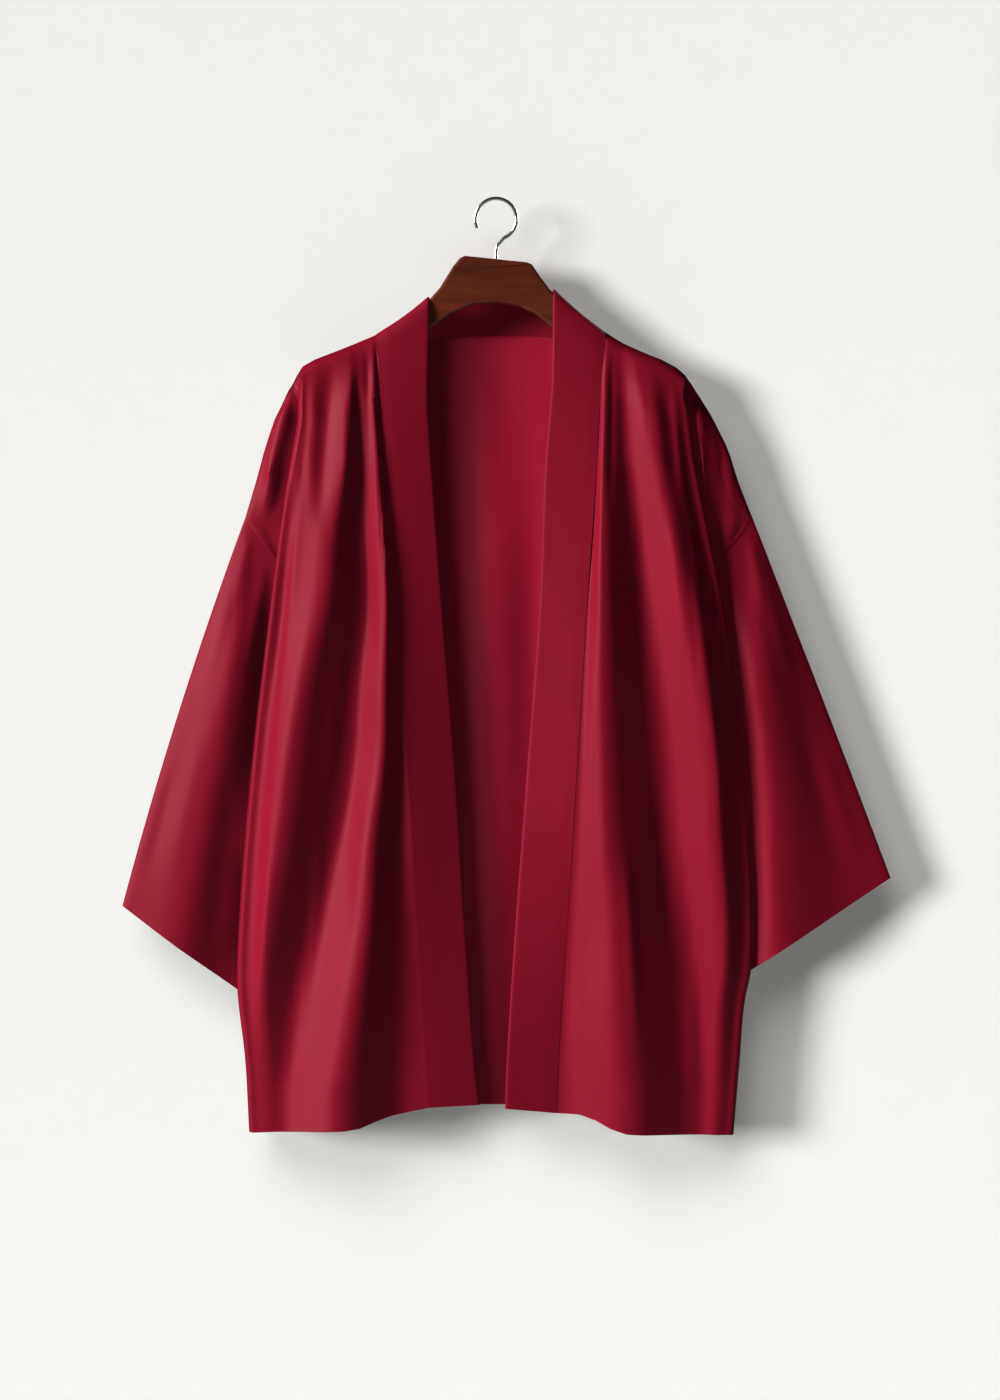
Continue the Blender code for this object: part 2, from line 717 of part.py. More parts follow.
def build_sleeve(side, name, material, collection):
    shape = SLEEVE[side]
    top_out = column(ARMHOLE[side], "out")[0]

    def place(i, j):
        angle = 2 * math.pi * i / SLEEVE_COLUMNS
        t = (1 - math.cos(angle)) / 2
        front = math.sin(angle)
        start = np.array((top_out, ARMHOLE_TOP)) * (1 - t) + np.array((ARMPIT_OUT, ARMPIT)) * t
        end = np.array(shape["tip"]) * (1 - t) + np.array(shape["inner"]) * t
        length = np.linalg.norm(end - start)
        v = SEAM_GAP / length + (1 - SEAM_GAP / length) * j / SLEEVE_ROWS
        out, drop = start + (end - start) * v
        out += shape["bow"] * 4 * v * (1 - v) * (1 - t)
        beyond = t - shape["crest_top"] - (shape["crest_cuff"] - shape["crest_top"]) * v
        width = shape["inward"] if beyond > 0 else shape["outer"]
        swell = math.exp(-((beyond / width) ** 2)) * ease(v / SWELL_START)
        depth = front * (ARMHOLE_DEPTH + shape["swell"] * swell)
        return (side * out, -depth, -drop)

    mesh = grid_mesh(name, SLEEVE_COLUMNS, SLEEVE_ROWS, place, closed=True)
    return cloth(name, mesh, material, collection)


def build_hanger(name, material, collection):
    curve = bpy.data.curves.new(name, "CURVE")
    curve.dimensions = "2D"
    curve.fill_mode = "BOTH"
    curve.extrude = HANGER_HALF
    outline = []
    for table in (HANGER_TOP, HANGER_BOTTOM):
        outline += list(zip(column(table, "x"), -column(table, "drop")))
    spline = curve.splines.new("POLY")
    spline.points.add(len(outline) - 1)
    for point, (x, z) in zip(spline.points, outline):
        point.co = (x, z, 0.0, 1.0)
    spline.use_cyclic_u = True
    flat = bpy.data.objects.new(name + "_outline", curve)
    collection.objects.link(flat)
    flat.rotation_euler = (math.radians(90), 0.0, 0.0)
    bpy.context.view_layer.update()
    evaluated = flat.evaluated_get(bpy.context.evaluated_depsgraph_get())
    mesh = bpy.data.meshes.new_from_object(evaluated)
    mesh.transform(flat.matrix_world)
    bpy.data.objects.remove(flat)
    welded = bmesh.new()
    welded.from_mesh(mesh)
    bmesh.ops.remove_doubles(welded, verts=welded.verts, dist=WELD_HANGER)
    bmesh.ops.recalc_face_normals(welded, faces=welded.faces)
    welded.to_mesh(mesh)
    welded.free()
    mesh.name = name
    mesh.materials.clear()
    mesh.materials.append(material)
    hanger = bpy.data.objects.new(name, mesh)
    collection.objects.link(hanger)
    rounding = hanger.modifiers.new("rounded edges", "BEVEL")
    rounding.width = HANGER_ROUND
    rounding.segments = 3
    rounding.limit_method = "ANGLE"
    rounding.angle_limit = math.radians(HANGER_CORNER)
    mesh.shade_smooth()
    return hanger


def build_hook(name, material, collection):
    curve = bpy.data.curves.new(name, "CURVE")
    curve.dimensions = "3D"
    curve.bevel_depth = HOOK_WIRE
    curve.bevel_resolution = 3
    curve.use_fill_caps = True
    radius = HOOK_INSIDE + HOOK_WIRE
    centre = -HOOK_INSIDE
    points = [
        (0.0, -HOOK_FOOT),
        (0.0, -HOOK_FOOT + HOOK_STRAIGHT),
        (HOOK_LEAN, centre - radius - HOOK_STRAIGHT),
    ]
    for step in range(HOOK_STEPS + 1):
        angle = math.radians(HOOK_START + (HOOK_END - HOOK_START) * step / HOOK_STEPS)
        points.append((radius * math.cos(angle), centre + radius * math.sin(angle)))
    spline = curve.splines.new("POLY")
    spline.points.add(len(points) - 1)
    for point, (x, z) in zip(spline.points, points):
        point.co = (x, 0.0, z, 1.0)
    hook = bpy.data.objects.new(name, curve)
    collection.objects.link(hook)
    curve.materials.append(material)
    return hook


def finish(name, colour, roughness, metallic):
    material = bpy.data.materials.new(name)
    material.use_nodes = True
    shader = material.node_tree.nodes["Principled BSDF"]
    shader.inputs["Base Color"].default_value = colour
    shader.inputs["Roughness"].default_value = roughness
    shader.inputs["Metallic"].default_value = metallic
    return material


def main():
    for thing in list(bpy.data.objects):
        bpy.data.objects.remove(thing)
    coat = bpy.data.collections.new("kimono_coat")
    bpy.context.scene.collection.children.link(coat)
    build_front(RIGHT, "front_right", finish("front_right", *SATIN), coat)
    build_front(LEFT, "front_left", finish("front_left", *SATIN), coat)
    build_back("back_panel", finish("back_panel", *SATIN), coat)
    build_band("collar_band", finish("collar_band", *SATIN), coat)
    build_sleeve(RIGHT, "sleeve_right", finish("sleeve_right", *SATIN), coat)
    build_sleeve(LEFT, "sleeve_left", finish("sleeve_left", *SATIN), coat)
    build_hanger("hanger_body", finish("hanger_body", *WOOD), coat)
    build_hook("hanger_hook", finish("hanger_hook", *STEEL), coat)


main()
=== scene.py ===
# %% [markdown]
# # A kimono coat on a wooden hanger
# The coat is a haori: an open jacket of crimson satin with straight panels, wide sleeves
# and one long collar band. It hangs on a contoured wooden hanger in front of a pale wall.
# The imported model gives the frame, and every sewn piece is made again here as a fine cloth
# shell on the form of its solid. A simulated drape would lose the folds that the hanger
# gives, so they stand in short tables, and a few functions lay the cloth over them.

# %% Load the frame
import math

import bpy
import numpy as np
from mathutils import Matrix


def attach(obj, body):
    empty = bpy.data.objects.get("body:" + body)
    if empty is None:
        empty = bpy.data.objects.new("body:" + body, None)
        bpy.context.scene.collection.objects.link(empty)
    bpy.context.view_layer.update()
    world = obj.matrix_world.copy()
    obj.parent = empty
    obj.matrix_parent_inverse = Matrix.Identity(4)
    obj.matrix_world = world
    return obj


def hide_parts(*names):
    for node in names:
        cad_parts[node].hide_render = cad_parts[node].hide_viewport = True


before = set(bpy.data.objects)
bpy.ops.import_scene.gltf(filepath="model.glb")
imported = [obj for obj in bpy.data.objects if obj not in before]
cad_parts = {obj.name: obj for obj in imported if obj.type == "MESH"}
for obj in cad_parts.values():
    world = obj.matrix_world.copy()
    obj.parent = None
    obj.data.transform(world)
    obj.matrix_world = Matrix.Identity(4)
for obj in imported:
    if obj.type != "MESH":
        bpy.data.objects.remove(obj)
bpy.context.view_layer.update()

MM = 0.001
RIGHT = -1
LEFT = 1

# %% [markdown]
# ## Reading the tables
# "Out" is the distance from the coat's middle plane and "drop" the distance below the hang
# point. A fold or an edge wanders slowly down the coat, so a table gives its place at a few
# drops, and a cubic through the rows gives it everywhere, for whole arrays of points at once.

# %% Table helpers
def column(table, name):
    """One named column of a table, in metres."""
    place = table[0].index(name)
    return np.array([row[place] for row in table[1:]], dtype=float) * MM


def in_metres(table):
    """Every row of a table, in metres."""
    return zip(*(column(table, name) for name in table[0]))


def straight(table, key, name, at):
    """A column's value, straight between the rows."""
    return np.interp(at, column(table, key), column(table, name))


def ease(t):
    """0 up to 0, 1 from 1, and a soft S between."""
    t = np.clip(t, 0.0, 1.0)
    return t * t * (3 - 2 * t)


def cubic(t, start, end, leaving, arriving):
    """From start to end as t goes from 0 to 1, with a slope at each end."""
    rise = start + (end - start) * ease(t)
    return rise + t * (1 - t) ** 2 * leaving + t * t * (t - 1) * arriving


def smooth(table, name, at):
    """A column's value on a smooth curve through the rows of the first column."""
    places = column(table, table[0][0])
    values = column(table, name)
    at = np.clip(at, places[0], places[-1])
    step = np.diff(places)
    slope = np.diff(values) / step
    tangent = np.concatenate(([slope[0]], (slope[:-1] + slope[1:]) / 2, [slope[-1]]))
    i = np.clip(np.searchsorted(places, at, side="right") - 1, 0, len(step) - 1)
    t = (at - places[i]) / step[i]
    return cubic(t, values[i], values[i + 1], step[i] * tangent[i], step[i] * tangent[i + 1])


def quarter_round(fall, radius):
    """0 at an edge, 1 from one radius below it, round between."""
    t = np.clip(fall / radius, 0.0, 1.0)
    return np.sqrt(1 - (1 - t) ** 2)


print("table helpers ready")

# %% [markdown]
# ## The coat's sizes
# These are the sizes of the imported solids: the shoulder line over the hanger, the edge where
# each front folds back, the armhole, the collar band's two edges and the hem. Each row is a
# section of the real garment, measured from the hang point in millimetres. A single size is
# a named value in metres.

# %% Sizes of the panels
SHOULDER = {
    RIGHT: (
        ("out", "drop"),
        (118, 134), (121, 136), (140, 144), (160, 152), (181, 160), (193, 167),
        (199, 176), (203, 184), (208, 192), (215, 208), (221, 220), (231, 250),
        (239, 280), (248, 310), (251, 320),
    ),
    LEFT: (
        ("out", "drop"),
        (109, 132.5), (114, 136), (127, 144), (145, 152), (165, 160), (180, 168),
        (189, 176), (195, 184), (200, 192), (210, 208), (217, 220), (232, 250),
        (241, 280), (252, 308), (257, 320),
    ),
}
HANGER_END = {RIGHT: 0.193, LEFT: 0.187}
SIDES = {
    RIGHT: (
        ("drop", "edge", "inset"),
        (163, 194, 194), (185, 197, 194), (205, 197, 188), (220, 197, 184), (250, 202, 178),
        (280, 207, 173), (320, 213, 168), (420, 225, 160), (560, 241, 160), (720, 254, 162),
        (785, 256, 163), (860, 248, 163), (932, 244, 163),
    ),
    LEFT: (
        ("drop", "edge", "inset"),
        (163, 188, 188), (185, 190, 189), (205, 191, 184), (220, 193, 181), (250, 196, 177),
        (280, 201, 173), (320, 209, 168), (420, 228, 160), (560, 244, 160), (720, 254, 162),
        (770, 252, 163), (800, 246, 163), (860, 241, 163), (932, 235, 163),
    ),
}
ARMHOLE_TOP = 0.320
ARMPIT = 0.420
ARMHOLE_DEPTH = 0.006
ARMHOLE = {
    RIGHT: (("drop", "out"), (320, 251), (420, 169), (932, 170)),
    LEFT: (("drop", "out"), (320, 257), (420, 169), (932, 170)),
}
HEM = {
    RIGHT: (
        ("out", "drop"),
        (16, 903), (61, 904), (76, 907), (91, 910), (106, 913), (121, 918),
        (136, 924), (151, 926), (196, 928), (256, 931),
    ),
    LEFT: (
        ("out", "drop"),
        (9, 905), (29, 908), (44, 910), (89, 912), (104, 917), (119, 925),
        (134, 930), (149, 931), (194, 932), (256, 933),
    ),
}
BACK_HEM = 0.905
BACK_HEM_SIDE = 0.929
BACK_INSET = 0.004
LAYERS = (
    ("drop", "middle", "inner"),
    (163, 6.0, 2.6), (200, 8.5, 4.0), (260, 11.5, 5.0), (320, 12.5, 5.5),
    (420, 13.5, 4.5), (932, 14.5, 4.5),
)
LEAST_TURN = 0.003
NECK_DROP = 0.134
HEM_DROP = 0.930
HEM_SEAM = 0.066
HEM_FREE = 0.016
SPREAD_FALL = 0.030
print("hanger end to end", HANGER_END[RIGHT] + HANGER_END[LEFT])

# %% Sizes of the collar band and the sleeves
BAND = {
    RIGHT: (
        ("drop", "seam", "free", "free_depth"),
        (134, 118, 67, 11), (200, 115, 68, 16), (280, 106, 63, 18), (400, 100, 54, 19),
        (560, 88, 41, 18), (720, 78, 31, 18), (860, 69, 21, 18), (910, 66, 16, 18),
    ),
    LEFT: (
        ("drop", "seam", "free", "free_depth"),
        (134, 109, 57, 11), (180, 105, 56, 15), (270, 100, 49, 17), (400, 91, 44, 18),
        (560, 81, 32, 18), (720, 71, 20, 21), (860, 62, 11, 25), (915, 60, 9, 26),
    ),
}
BAND_TOP = {RIGHT: (0.143, 0.113), LEFT: (0.141, 0.105)}
NECK = (
    ("seam_x", "seam_y", "seam_drop", "free_x", "free_y", "free_drop"),
    (-118, -9.3, 139, -67, -9.8, 104),
    (-118, -7, 137, -67, -7.2, 100),
    (-118, 0, 133.9, -67, 0, 97.4),
    (-117, 7, 136.8, -66, 8, 99),
    (-114, 10.5, 140.5, -62, 12.5, 98.6),
    (-104, 15, 141.5, -54, 17, 96),
    (-85, 21, 139, -42, 21, 92.5),
    (-60, 26, 136, -29, 24, 90),
    (-30, 29.5, 134, -14, 26, 88.5),
    (0, 30.5, 133.5, 0, 26.5, 88),
    (28, 29.5, 133.8, 13, 26, 88),
    (56, 26, 135, 26, 24, 88),
    (79, 21, 137.2, 37, 21, 88.4),
    (96, 15, 139.5, 46, 17, 89.6),
    (105, 10.5, 138.5, 52.5, 12.5, 91.4),
    (108, 7, 135.8, 56.5, 8, 91.6),
    (109, 0, 132.9, 57.5, 0, 89.8),
    (109, -7, 136.1, 57.5, -7.2, 92.4),
    (109, -9.3, 137.2, 57.5, -9.8, 96.4),
)
NECK_SAG = 0.0026
SLEEVE = {
    RIGHT: {
        "tip": (0.373, 0.706), "inner": (0.190, 0.838), "bow": 0.005, "swell": 0.016,
        "crest_top": 0.26, "crest_cuff": 0.30, "outer": 0.25, "inward": 0.19,
    },
    LEFT: {
        "tip": (0.394, 0.678), "inner": (0.190, 0.811), "bow": 0.001, "swell": 0.017,
        "crest_top": 0.22, "crest_cuff": 0.56, "outer": 0.28, "inward": 0.12,
    },
}
ARMPIT_OUT = 0.1725
print("sleeve tip to tip", SLEEVE[RIGHT]["tip"][0] + SLEEVE[LEFT]["tip"][0])

# %% [markdown]
# ## The main folds
# Satin on a hanger falls in long folds from the points that carry it: the collar band's
# corner and the end of the hanger. A front's depth is a chain of lines, from the band's seam
# over crests and valleys to the folded edge, and each line's table gives its place and its
# height as it wanders down. Between two lines lies a flank, straight in the middle and round
# at both ends, because satin falls in even bright and dark strips with a soft change between.
# The back's folds don't show in the photo, so they are plain ridges of much the same size.

# %% Folds of the fronts and the back
SEAM_HEIGHT = {
    RIGHT: (
        ("drop", "height"),
        (150, 0), (220, 0.5), (330, 1), (400, 2), (560, 5), (640, 5), (720, 4), (800, 3),
        (932, 3),
    ),
    LEFT: (
        ("drop", "height"),
        (150, 0), (220, 1), (330, 3), (400, 4), (560, 6), (640, 4), (720, 0), (800, -3),
        (932, -4),
    ),
}
EDGE_HEIGHT = {
    RIGHT: (
        ("drop", "height"),
        (150, 0), (220, -1), (330, -3), (480, -4), (640, -3), (800, -2), (932, -3),
    ),
    LEFT: (
        ("drop", "height"),
        (150, 0), (220, -1), (330, -3), (480, -4), (640, -4), (800, -3), (932, -3),
    ),
}
FOLD_LINES = {
    RIGHT: (
        (
            ("drop", "out", "height"),
            (150, 119.8, 0), (180, 117.5, -2), (220, 116, -3), (270, 111, -3), (330, 107, -2),
            (400, 102.5, 1), (480, 98, 3), (560, 95, 3), (640, 93, 3.5), (720, 92, 3.5),
            (800, 90, 3), (932, 86, 3),
        ),
        (
            ("drop", "out", "height"),
            (150, 122.5, 0.5), (180, 121.5, 3), (220, 120.5, 6), (270, 116.5, 8.5),
            (330, 112, 11), (400, 108, 13.5), (480, 110, 16), (560, 112, 18), (640, 123, 21),
            (720, 128, 25), (800, 139, 28), (932, 160, 28),
        ),
        (
            ("drop", "out", "height"),
            (150, 134, 0), (220, 137, -1.5), (330, 132, -2), (400, 129, -2), (480, 138, -2),
            (560, 144, -2), (640, 159, -2), (720, 178, -2.5), (800, 198, -2.5), (932, 222, 0),
        ),
        (
            ("drop", "out", "height"),
            (150, 146, 0.5), (180, 146, 3), (220, 147, 7), (270, 152, 11), (330, 163, 14),
            (400, 171, 17), (480, 190, 18), (560, 204, 18), (640, 214, 17), (720, 226, 13),
            (800, 237, 7), (932, 242, 0.5),
        ),
    ),
    LEFT: (
        (
            ("drop", "out", "height"),
            (150, 111, 0.5), (180, 108.5, 3), (220, 107, 6), (270, 106, 9), (330, 105, 12),
            (400, 104.5, 15.5), (480, 105, 17), (560, 107, 18.5), (640, 111, 20),
            (720, 120, 21), (800, 124, 22), (932, 134, 19),
        ),
        (
            ("drop", "out", "height"),
            (150, 124, 0), (220, 128, -1.5), (330, 140, -2.5), (400, 148, -3), (480, 158, -3),
            (560, 166, -3), (640, 175, -3), (720, 186, -3), (800, 197, -3), (932, 206, -3),
        ),
        (
            ("drop", "out", "height"),
            (150, 136, 0.5), (180, 143, 4), (220, 151, 9), (270, 163, 11), (330, 175, 13),
            (400, 192, 16), (480, 206, 16), (560, 217, 14.5), (640, 220, 13), (720, 229, 9),
            (800, 232, 6), (932, 230, 4),
        ),
    ),
}
BACK_FOLDS = (
    ("top_x", "hem_x", "height", "width"),
    (-160, -205, 12, 24),
    (-112, -128, 14, 26),
    (-38, -46, 8, 28),
    (34, 42, 9, 26),
    (104, 118, 14, 28),
    (152, 196, 12, 24),
)
FRONT_BASE = 0.0235
BACK_MIDDLE = 0.008
BACK_SIDE = 0.022
BACK_FLAT_OUT = 0.10
BACK_DEEPENS = 0.06
NECK_OUT = 0.055
NECK_FADES = 0.06
NECK_STAND = 0.019
STAND_TOP = 0.14
STAND_FALL = 0.22
SHOULDER_DEPTH = 0.0095
DEPTH_FALL = 0.075
BACK_FOLDS_TOP = 0.16
BACK_FOLDS_GROW = 0.30
CREST_ROUND = 0.28


def flank(t):
    """A fold's flank from 0 to 1: straight in the middle, round at both ends."""
    t = np.clip(t, 0.0, 1.0)
    slope = 1 / (1 - CREST_ROUND)
    near = np.minimum(t, 1 - t)
    rounded = slope * near * near / (2 * CREST_ROUND)
    even = slope * (near - CREST_ROUND / 2)
    half = np.where(near < CREST_ROUND, rounded, even)
    return np.where(t < 0.5, half, 1 - half)


def fold_height(side, out, drop):
    """Height of a front's folds, from one fold line to the next."""
    places = [(smooth(BAND[side], "seam", drop), smooth(SEAM_HEIGHT[side], "height", drop))]
    for line in FOLD_LINES[side]:
        places.append((smooth(line, "out", drop), smooth(line, "height", drop)))
    places.append((smooth(SIDES[side], "edge", drop), smooth(EDGE_HEIGHT[side], "height", drop)))
    height = places[0][1]
    for (start, low), (end, high) in zip(places, places[1:]):
        width = np.maximum(end - start, MM)
        height = height + (high - low) * flank((out - start) / width)
    return height


def near_neck(drop):
    """1 at the neck's height and above, fading below it."""
    return np.exp(-np.maximum(drop - NECK_DROP, 0.0) / DEPTH_FALL)


def front_depth(side, out, drop):
    """How far a front panel stands in front of the plane Y = 0."""
    base = FRONT_BASE - (FRONT_BASE - SHOULDER_DEPTH) * near_neck(drop)
    return base + fold_height(side, out, drop)


def back_depth(x, drop):
    """How far the back panel stands behind the plane Y = 0."""
    out = np.abs(x)
    deep = BACK_MIDDLE + (BACK_SIDE - BACK_MIDDLE) * ease((out - BACK_FLAT_OUT) / BACK_DEEPENS)
    shoulder = ease((out - NECK_OUT) / NECK_FADES)
    depth = deep - (deep - SHOULDER_DEPTH) * near_neck(drop) * shoulder
    stand = 1 - ease((drop - STAND_TOP) / STAND_FALL)
    depth = depth + NECK_STAND * (1 - shoulder) * stand
    down = ease((drop - BACK_FOLDS_TOP) / BACK_FOLDS_GROW)
    along = np.clip((drop - NECK_DROP) / (BACK_HEM - NECK_DROP), 0.0, 1.0)
    for top_x, hem_x, height, width in in_metres(BACK_FOLDS):
        crest = top_x + (hem_x - top_x) * along
        depth = depth + down * height * np.exp(-(((x - crest) / width) ** 2))
    return depth


print("fold lines between seam and edge", {side: len(FOLD_LINES[side]) for side in FOLD_LINES})

# %% [markdown]
# ## Creases
# Between the main folds the satin has small creases: rolls beside the folded edge, pulls that
# fan from the shoulder point and puckers at the armhole. Each is a soft ridge (or, with a
# negative height, a trough) along a short line, fading out at both ends. They are uneven in
# length, depth and spacing. The back and the rear of each sleeve get their own, and the
# shoulder tables hold those of the cloth that shows outside the folded edge.

# %% Crease tables and helper
FADE_IN = 0.3
FADE_OUT = 0.4
CREASE_FALL = 0.02
CREASE_COLUMNS = ("from_x", "from_drop", "to_x", "to_drop", "height", "width")
CREASES = {
    "front_right": (
        CREASE_COLUMNS,
        (-195, 168, -199, 330, 1.6, 5), (-164, 152, -172, 350, -4.6, 10),
        (-140, 146, -150, 330, 2.6, 9), (-181, 170, -186, 320, 1.8, 6),
        (-135, 142, -133, 235, 1.3, 5), (-128, 142, -125, 300, -1.6, 4),
        (-160, 190, -168, 330, 1.4, 7), (-150, 420, -168, 600, 1.0, 9),
        (-140, 560, -150, 760, -1.2, 9), (-225, 560, -232, 800, 1.0, 8),
        (-100, 640, -92, 905, 1.2, 9), (-185, 740, -196, 925, 1.2, 8),
        (-205, 330, -222, 520, -1.6, 6), (-196, 300, -206, 430, 1.2, 6),
        (-120, 300, -116, 470, 1.0, 5), (-172, 620, -186, 780, 1.1, 6),
        (-118, 150, -112, 420, -1.2, 3),
    ),
    "front_left": (
        CREASE_COLUMNS,
        (178, 178, 186, 300, 1.4, 5), (168, 176, 178, 330, -1.4, 7),
        (116, 140, 112, 330, -1.5, 4), (150, 160, 172, 290, 1.1, 7),
        (142, 300, 150, 520, -1.0, 8), (160, 560, 176, 760, -1.2, 9),
        (205, 420, 226, 640, 1.0, 8), (192, 760, 196, 925, 1.2, 8),
        (84, 640, 78, 905, 1.0, 8), (236, 600, 240, 800, 1.0, 7),
        (186, 320, 204, 500, -1.6, 6), (172, 300, 186, 470, 1.2, 5),
        (100, 170, 93, 420, -1.3, 3.5), (128, 640, 140, 860, 1.3, 6),
        (98, 420, 92, 640, 1.0, 4),
    ),
    "shoulder_right": (
        CREASE_COLUMNS,
        (-202, 170, -236, 335, 6.5, 7), (-212, 200, -222, 330, -1.6, 4),
        (-222, 235, -233, 345, 1.4, 3), (-226, 285, -206, 350, 1.3, 4),
        (-238, 300, -214, 372, -1.4, 4), (-232, 330, -214, 400, 1.2, 4),
    ),
    "shoulder_left": (
        CREASE_COLUMNS,
        (198, 176, 216, 345, 8.5, 6), (213, 205, 226, 345, 3.5, 3.5),
        (234, 250, 232, 345, 2.0, 5), (246, 292, 226, 350, 1.8, 4),
        (250, 308, 226, 372, -1.6, 3.5), (240, 318, 216, 392, 1.5, 4),
    ),
    "sleeve_right": (
        CREASE_COLUMNS,
        (-222, 345, -247, 640, -5.5, 11), (-246, 640, -256, 800, -3.5, 9),
        (-244, 322, -262, 420, 1.5, 5),
        (-248, 330, -300, 520, 1.0, 6), (-236, 345, -268, 560, -1.3, 6),
        (-228, 355, -246, 470, 1.1, 5), (-290, 520, -330, 700, 0.9, 8),
        (-262, 560, -286, 760, -1.0, 8), (-318, 560, -352, 690, -0.8, 6),
    ),
    "sleeve_right_back": (
        CREASE_COLUMNS,
        (-244, 335, -288, 500, -1.1, 6), (-226, 360, -252, 540, 1.2, 6),
        (-280, 500, -318, 700, 1.1, 8), (-250, 560, -262, 760, -1.0, 7),
    ),
    "sleeve_left": (
        CREASE_COLUMNS,
        (226, 400, 258, 790, -5.0, 9), (252, 330, 270, 430, 1.5, 5),
        (254, 330, 300, 500, 1.1, 6), (240, 345, 276, 560, -1.2, 6),
        (230, 358, 252, 500, 1.2, 5), (300, 500, 344, 690, -1.0, 8),
        (322, 540, 368, 680, 0.9, 7), (262, 600, 284, 770, 1.0, 7),
    ),
    "sleeve_left_back": (
        CREASE_COLUMNS,
        (250, 335, 292, 500, -1.2, 6), (232, 360, 258, 540, 1.1, 6),
        (290, 500, 330, 690, 1.2, 8), (256, 560, 270, 770, -1.0, 7),
    ),
    "back": (
        CREASE_COLUMNS,
        (-100, 150, -92, 330, 1.4, 8), (-172, 176, -186, 330, 1.5, 7),
        (-140, 160, -150, 300, -1.2, 8), (-70, 150, -74, 420, 1.2, 10),
        (-12, 140, -10, 330, -1.0, 12), (64, 145, 70, 400, 1.3, 10),
        (96, 150, 88, 330, 1.5, 8), (168, 172, 182, 340, 1.5, 7),
        (136, 160, 146, 300, -1.2, 8), (-150, 420, -164, 640, 1.2, 9),
        (-82, 470, -90, 760, -1.5, 10), (-4, 420, 0, 700, 1.1, 12),
        (78, 480, 80, 740, -1.4, 10), (150, 440, 160, 680, 1.2, 9),
        (-180, 700, -176, 925, 1.5, 9), (-96, 690, -84, 905, 1.4, 9),
        (14, 650, 10, 900, 1.3, 11), (92, 700, 84, 905, 1.4, 9),
        (166, 720, 170, 925, 1.5, 9),
    ),
}


def creases(name, x, drop):
    """Summed height of a piece's creases at its points."""
    height = np.zeros_like(x)
    for x0, d0, x1, d1, high, wide in in_metres(CREASES[name]):
        length2 = (x1 - x0) ** 2 + (d1 - d0) ** 2
        t = ((x - x0) * (x1 - x0) + (drop - d0) * (d1 - d0)) / length2
        away = np.abs((x - x0) * (d1 - d0) - (drop - d0) * (x1 - x0)) / math.sqrt(length2)
        fade = ease(t / FADE_IN) * ease((1 - t) / FADE_OUT)
        height = height + high * fade * np.exp(-((away / wide) ** 2))
    return height


print("creases", {name: len(table) - 1 for name, table in CREASES.items()})

# %% [markdown]
# ## The cloth material
# Satin is woven so that long threads float on its face, which gives it a soft, directional
# gloss over a deep colour. A Principled shader with a little sheen does that. What varies is
# worked out from the piece's own UV map, which is laid out in metres of cloth: faint threads,
# slow changes of tone and roughness, and a fine bump. A small class wraps the shader sockets,
# so that the maths below reads as plain expressions. A panel's thin edges are turned in, and
# they get a much darker copy of the satin: painted shade along every seam and outline.

# %% Shader helpers
COLOUR_INPUTS = (0, 6, 7)
COLOUR_OUTPUT = 2


class Value:
    """A socket of a node tree, with Python's operators."""

    def __init__(self, tree, socket):
        self.tree = tree
        self.socket = socket

    def math(self, operation, other):
        node = self.tree.new("ShaderNodeMath", {"operation": operation})
        for socket, end in zip(node.inputs, (self, other)):
            self.tree.put(socket, end)
        return Value(self.tree, node.outputs[0])

    def __add__(self, other):
        return self.math("ADD", other)

    __radd__ = __add__

    def __mul__(self, other):
        return self.math("MULTIPLY", other)

    def __sub__(self, other):
        return self.math("SUBTRACT", other)


class Finish:
    """One material and the nodes that make it."""

    def __init__(self, name):
        self.material = bpy.data.materials.new(name)
        self.material.use_nodes = True
        self.tree = self.material.node_tree
        self.shader = self.tree.nodes["Principled BSDF"]

    def new(self, kind, settings=None):
        node = self.tree.nodes.new(kind)
        for name, value in (settings or {}).items():
            setattr(node, name, value)
        return node

    def put(self, socket, value):
        if isinstance(value, Value):
            self.tree.links.new(value.socket, socket)
        else:
            socket.default_value = value

    def node(self, kind, settings=None, output=0, **sockets):
        """Any node: its settings first, then its sockets."""
        made = self.new(kind, settings)
        for name, value in sockets.items():
            self.put(made.inputs[name.replace("_", " ")], value)
        return Value(self, made.outputs[output])

    def mix(self, factor, first, second):
        """Two colours mixed by a factor."""
        made = self.new("ShaderNodeMix", {"data_type": "RGBA"})
        for socket, value in zip(COLOUR_INPUTS, (factor, first, second)):
            self.put(made.inputs[socket], value)
        return Value(self, made.outputs[COLOUR_OUTPUT])

    def noise(self, place, grain, dimensions="3D", **sockets):
        """A noise with so many grains to the metre along each axis of a place."""
        sockets["Vector"] = self.node("ShaderNodeMapping", Vector=place, Scale=grain)
        sockets.setdefault("Scale", 1.0)
        return self.node("ShaderNodeTexNoise", {"noise_dimensions": dimensions}, **sockets)

    def set(self, **sockets):
        for name, value in sockets.items():
            self.put(self.shader.inputs[name.replace("_", " ")], value)


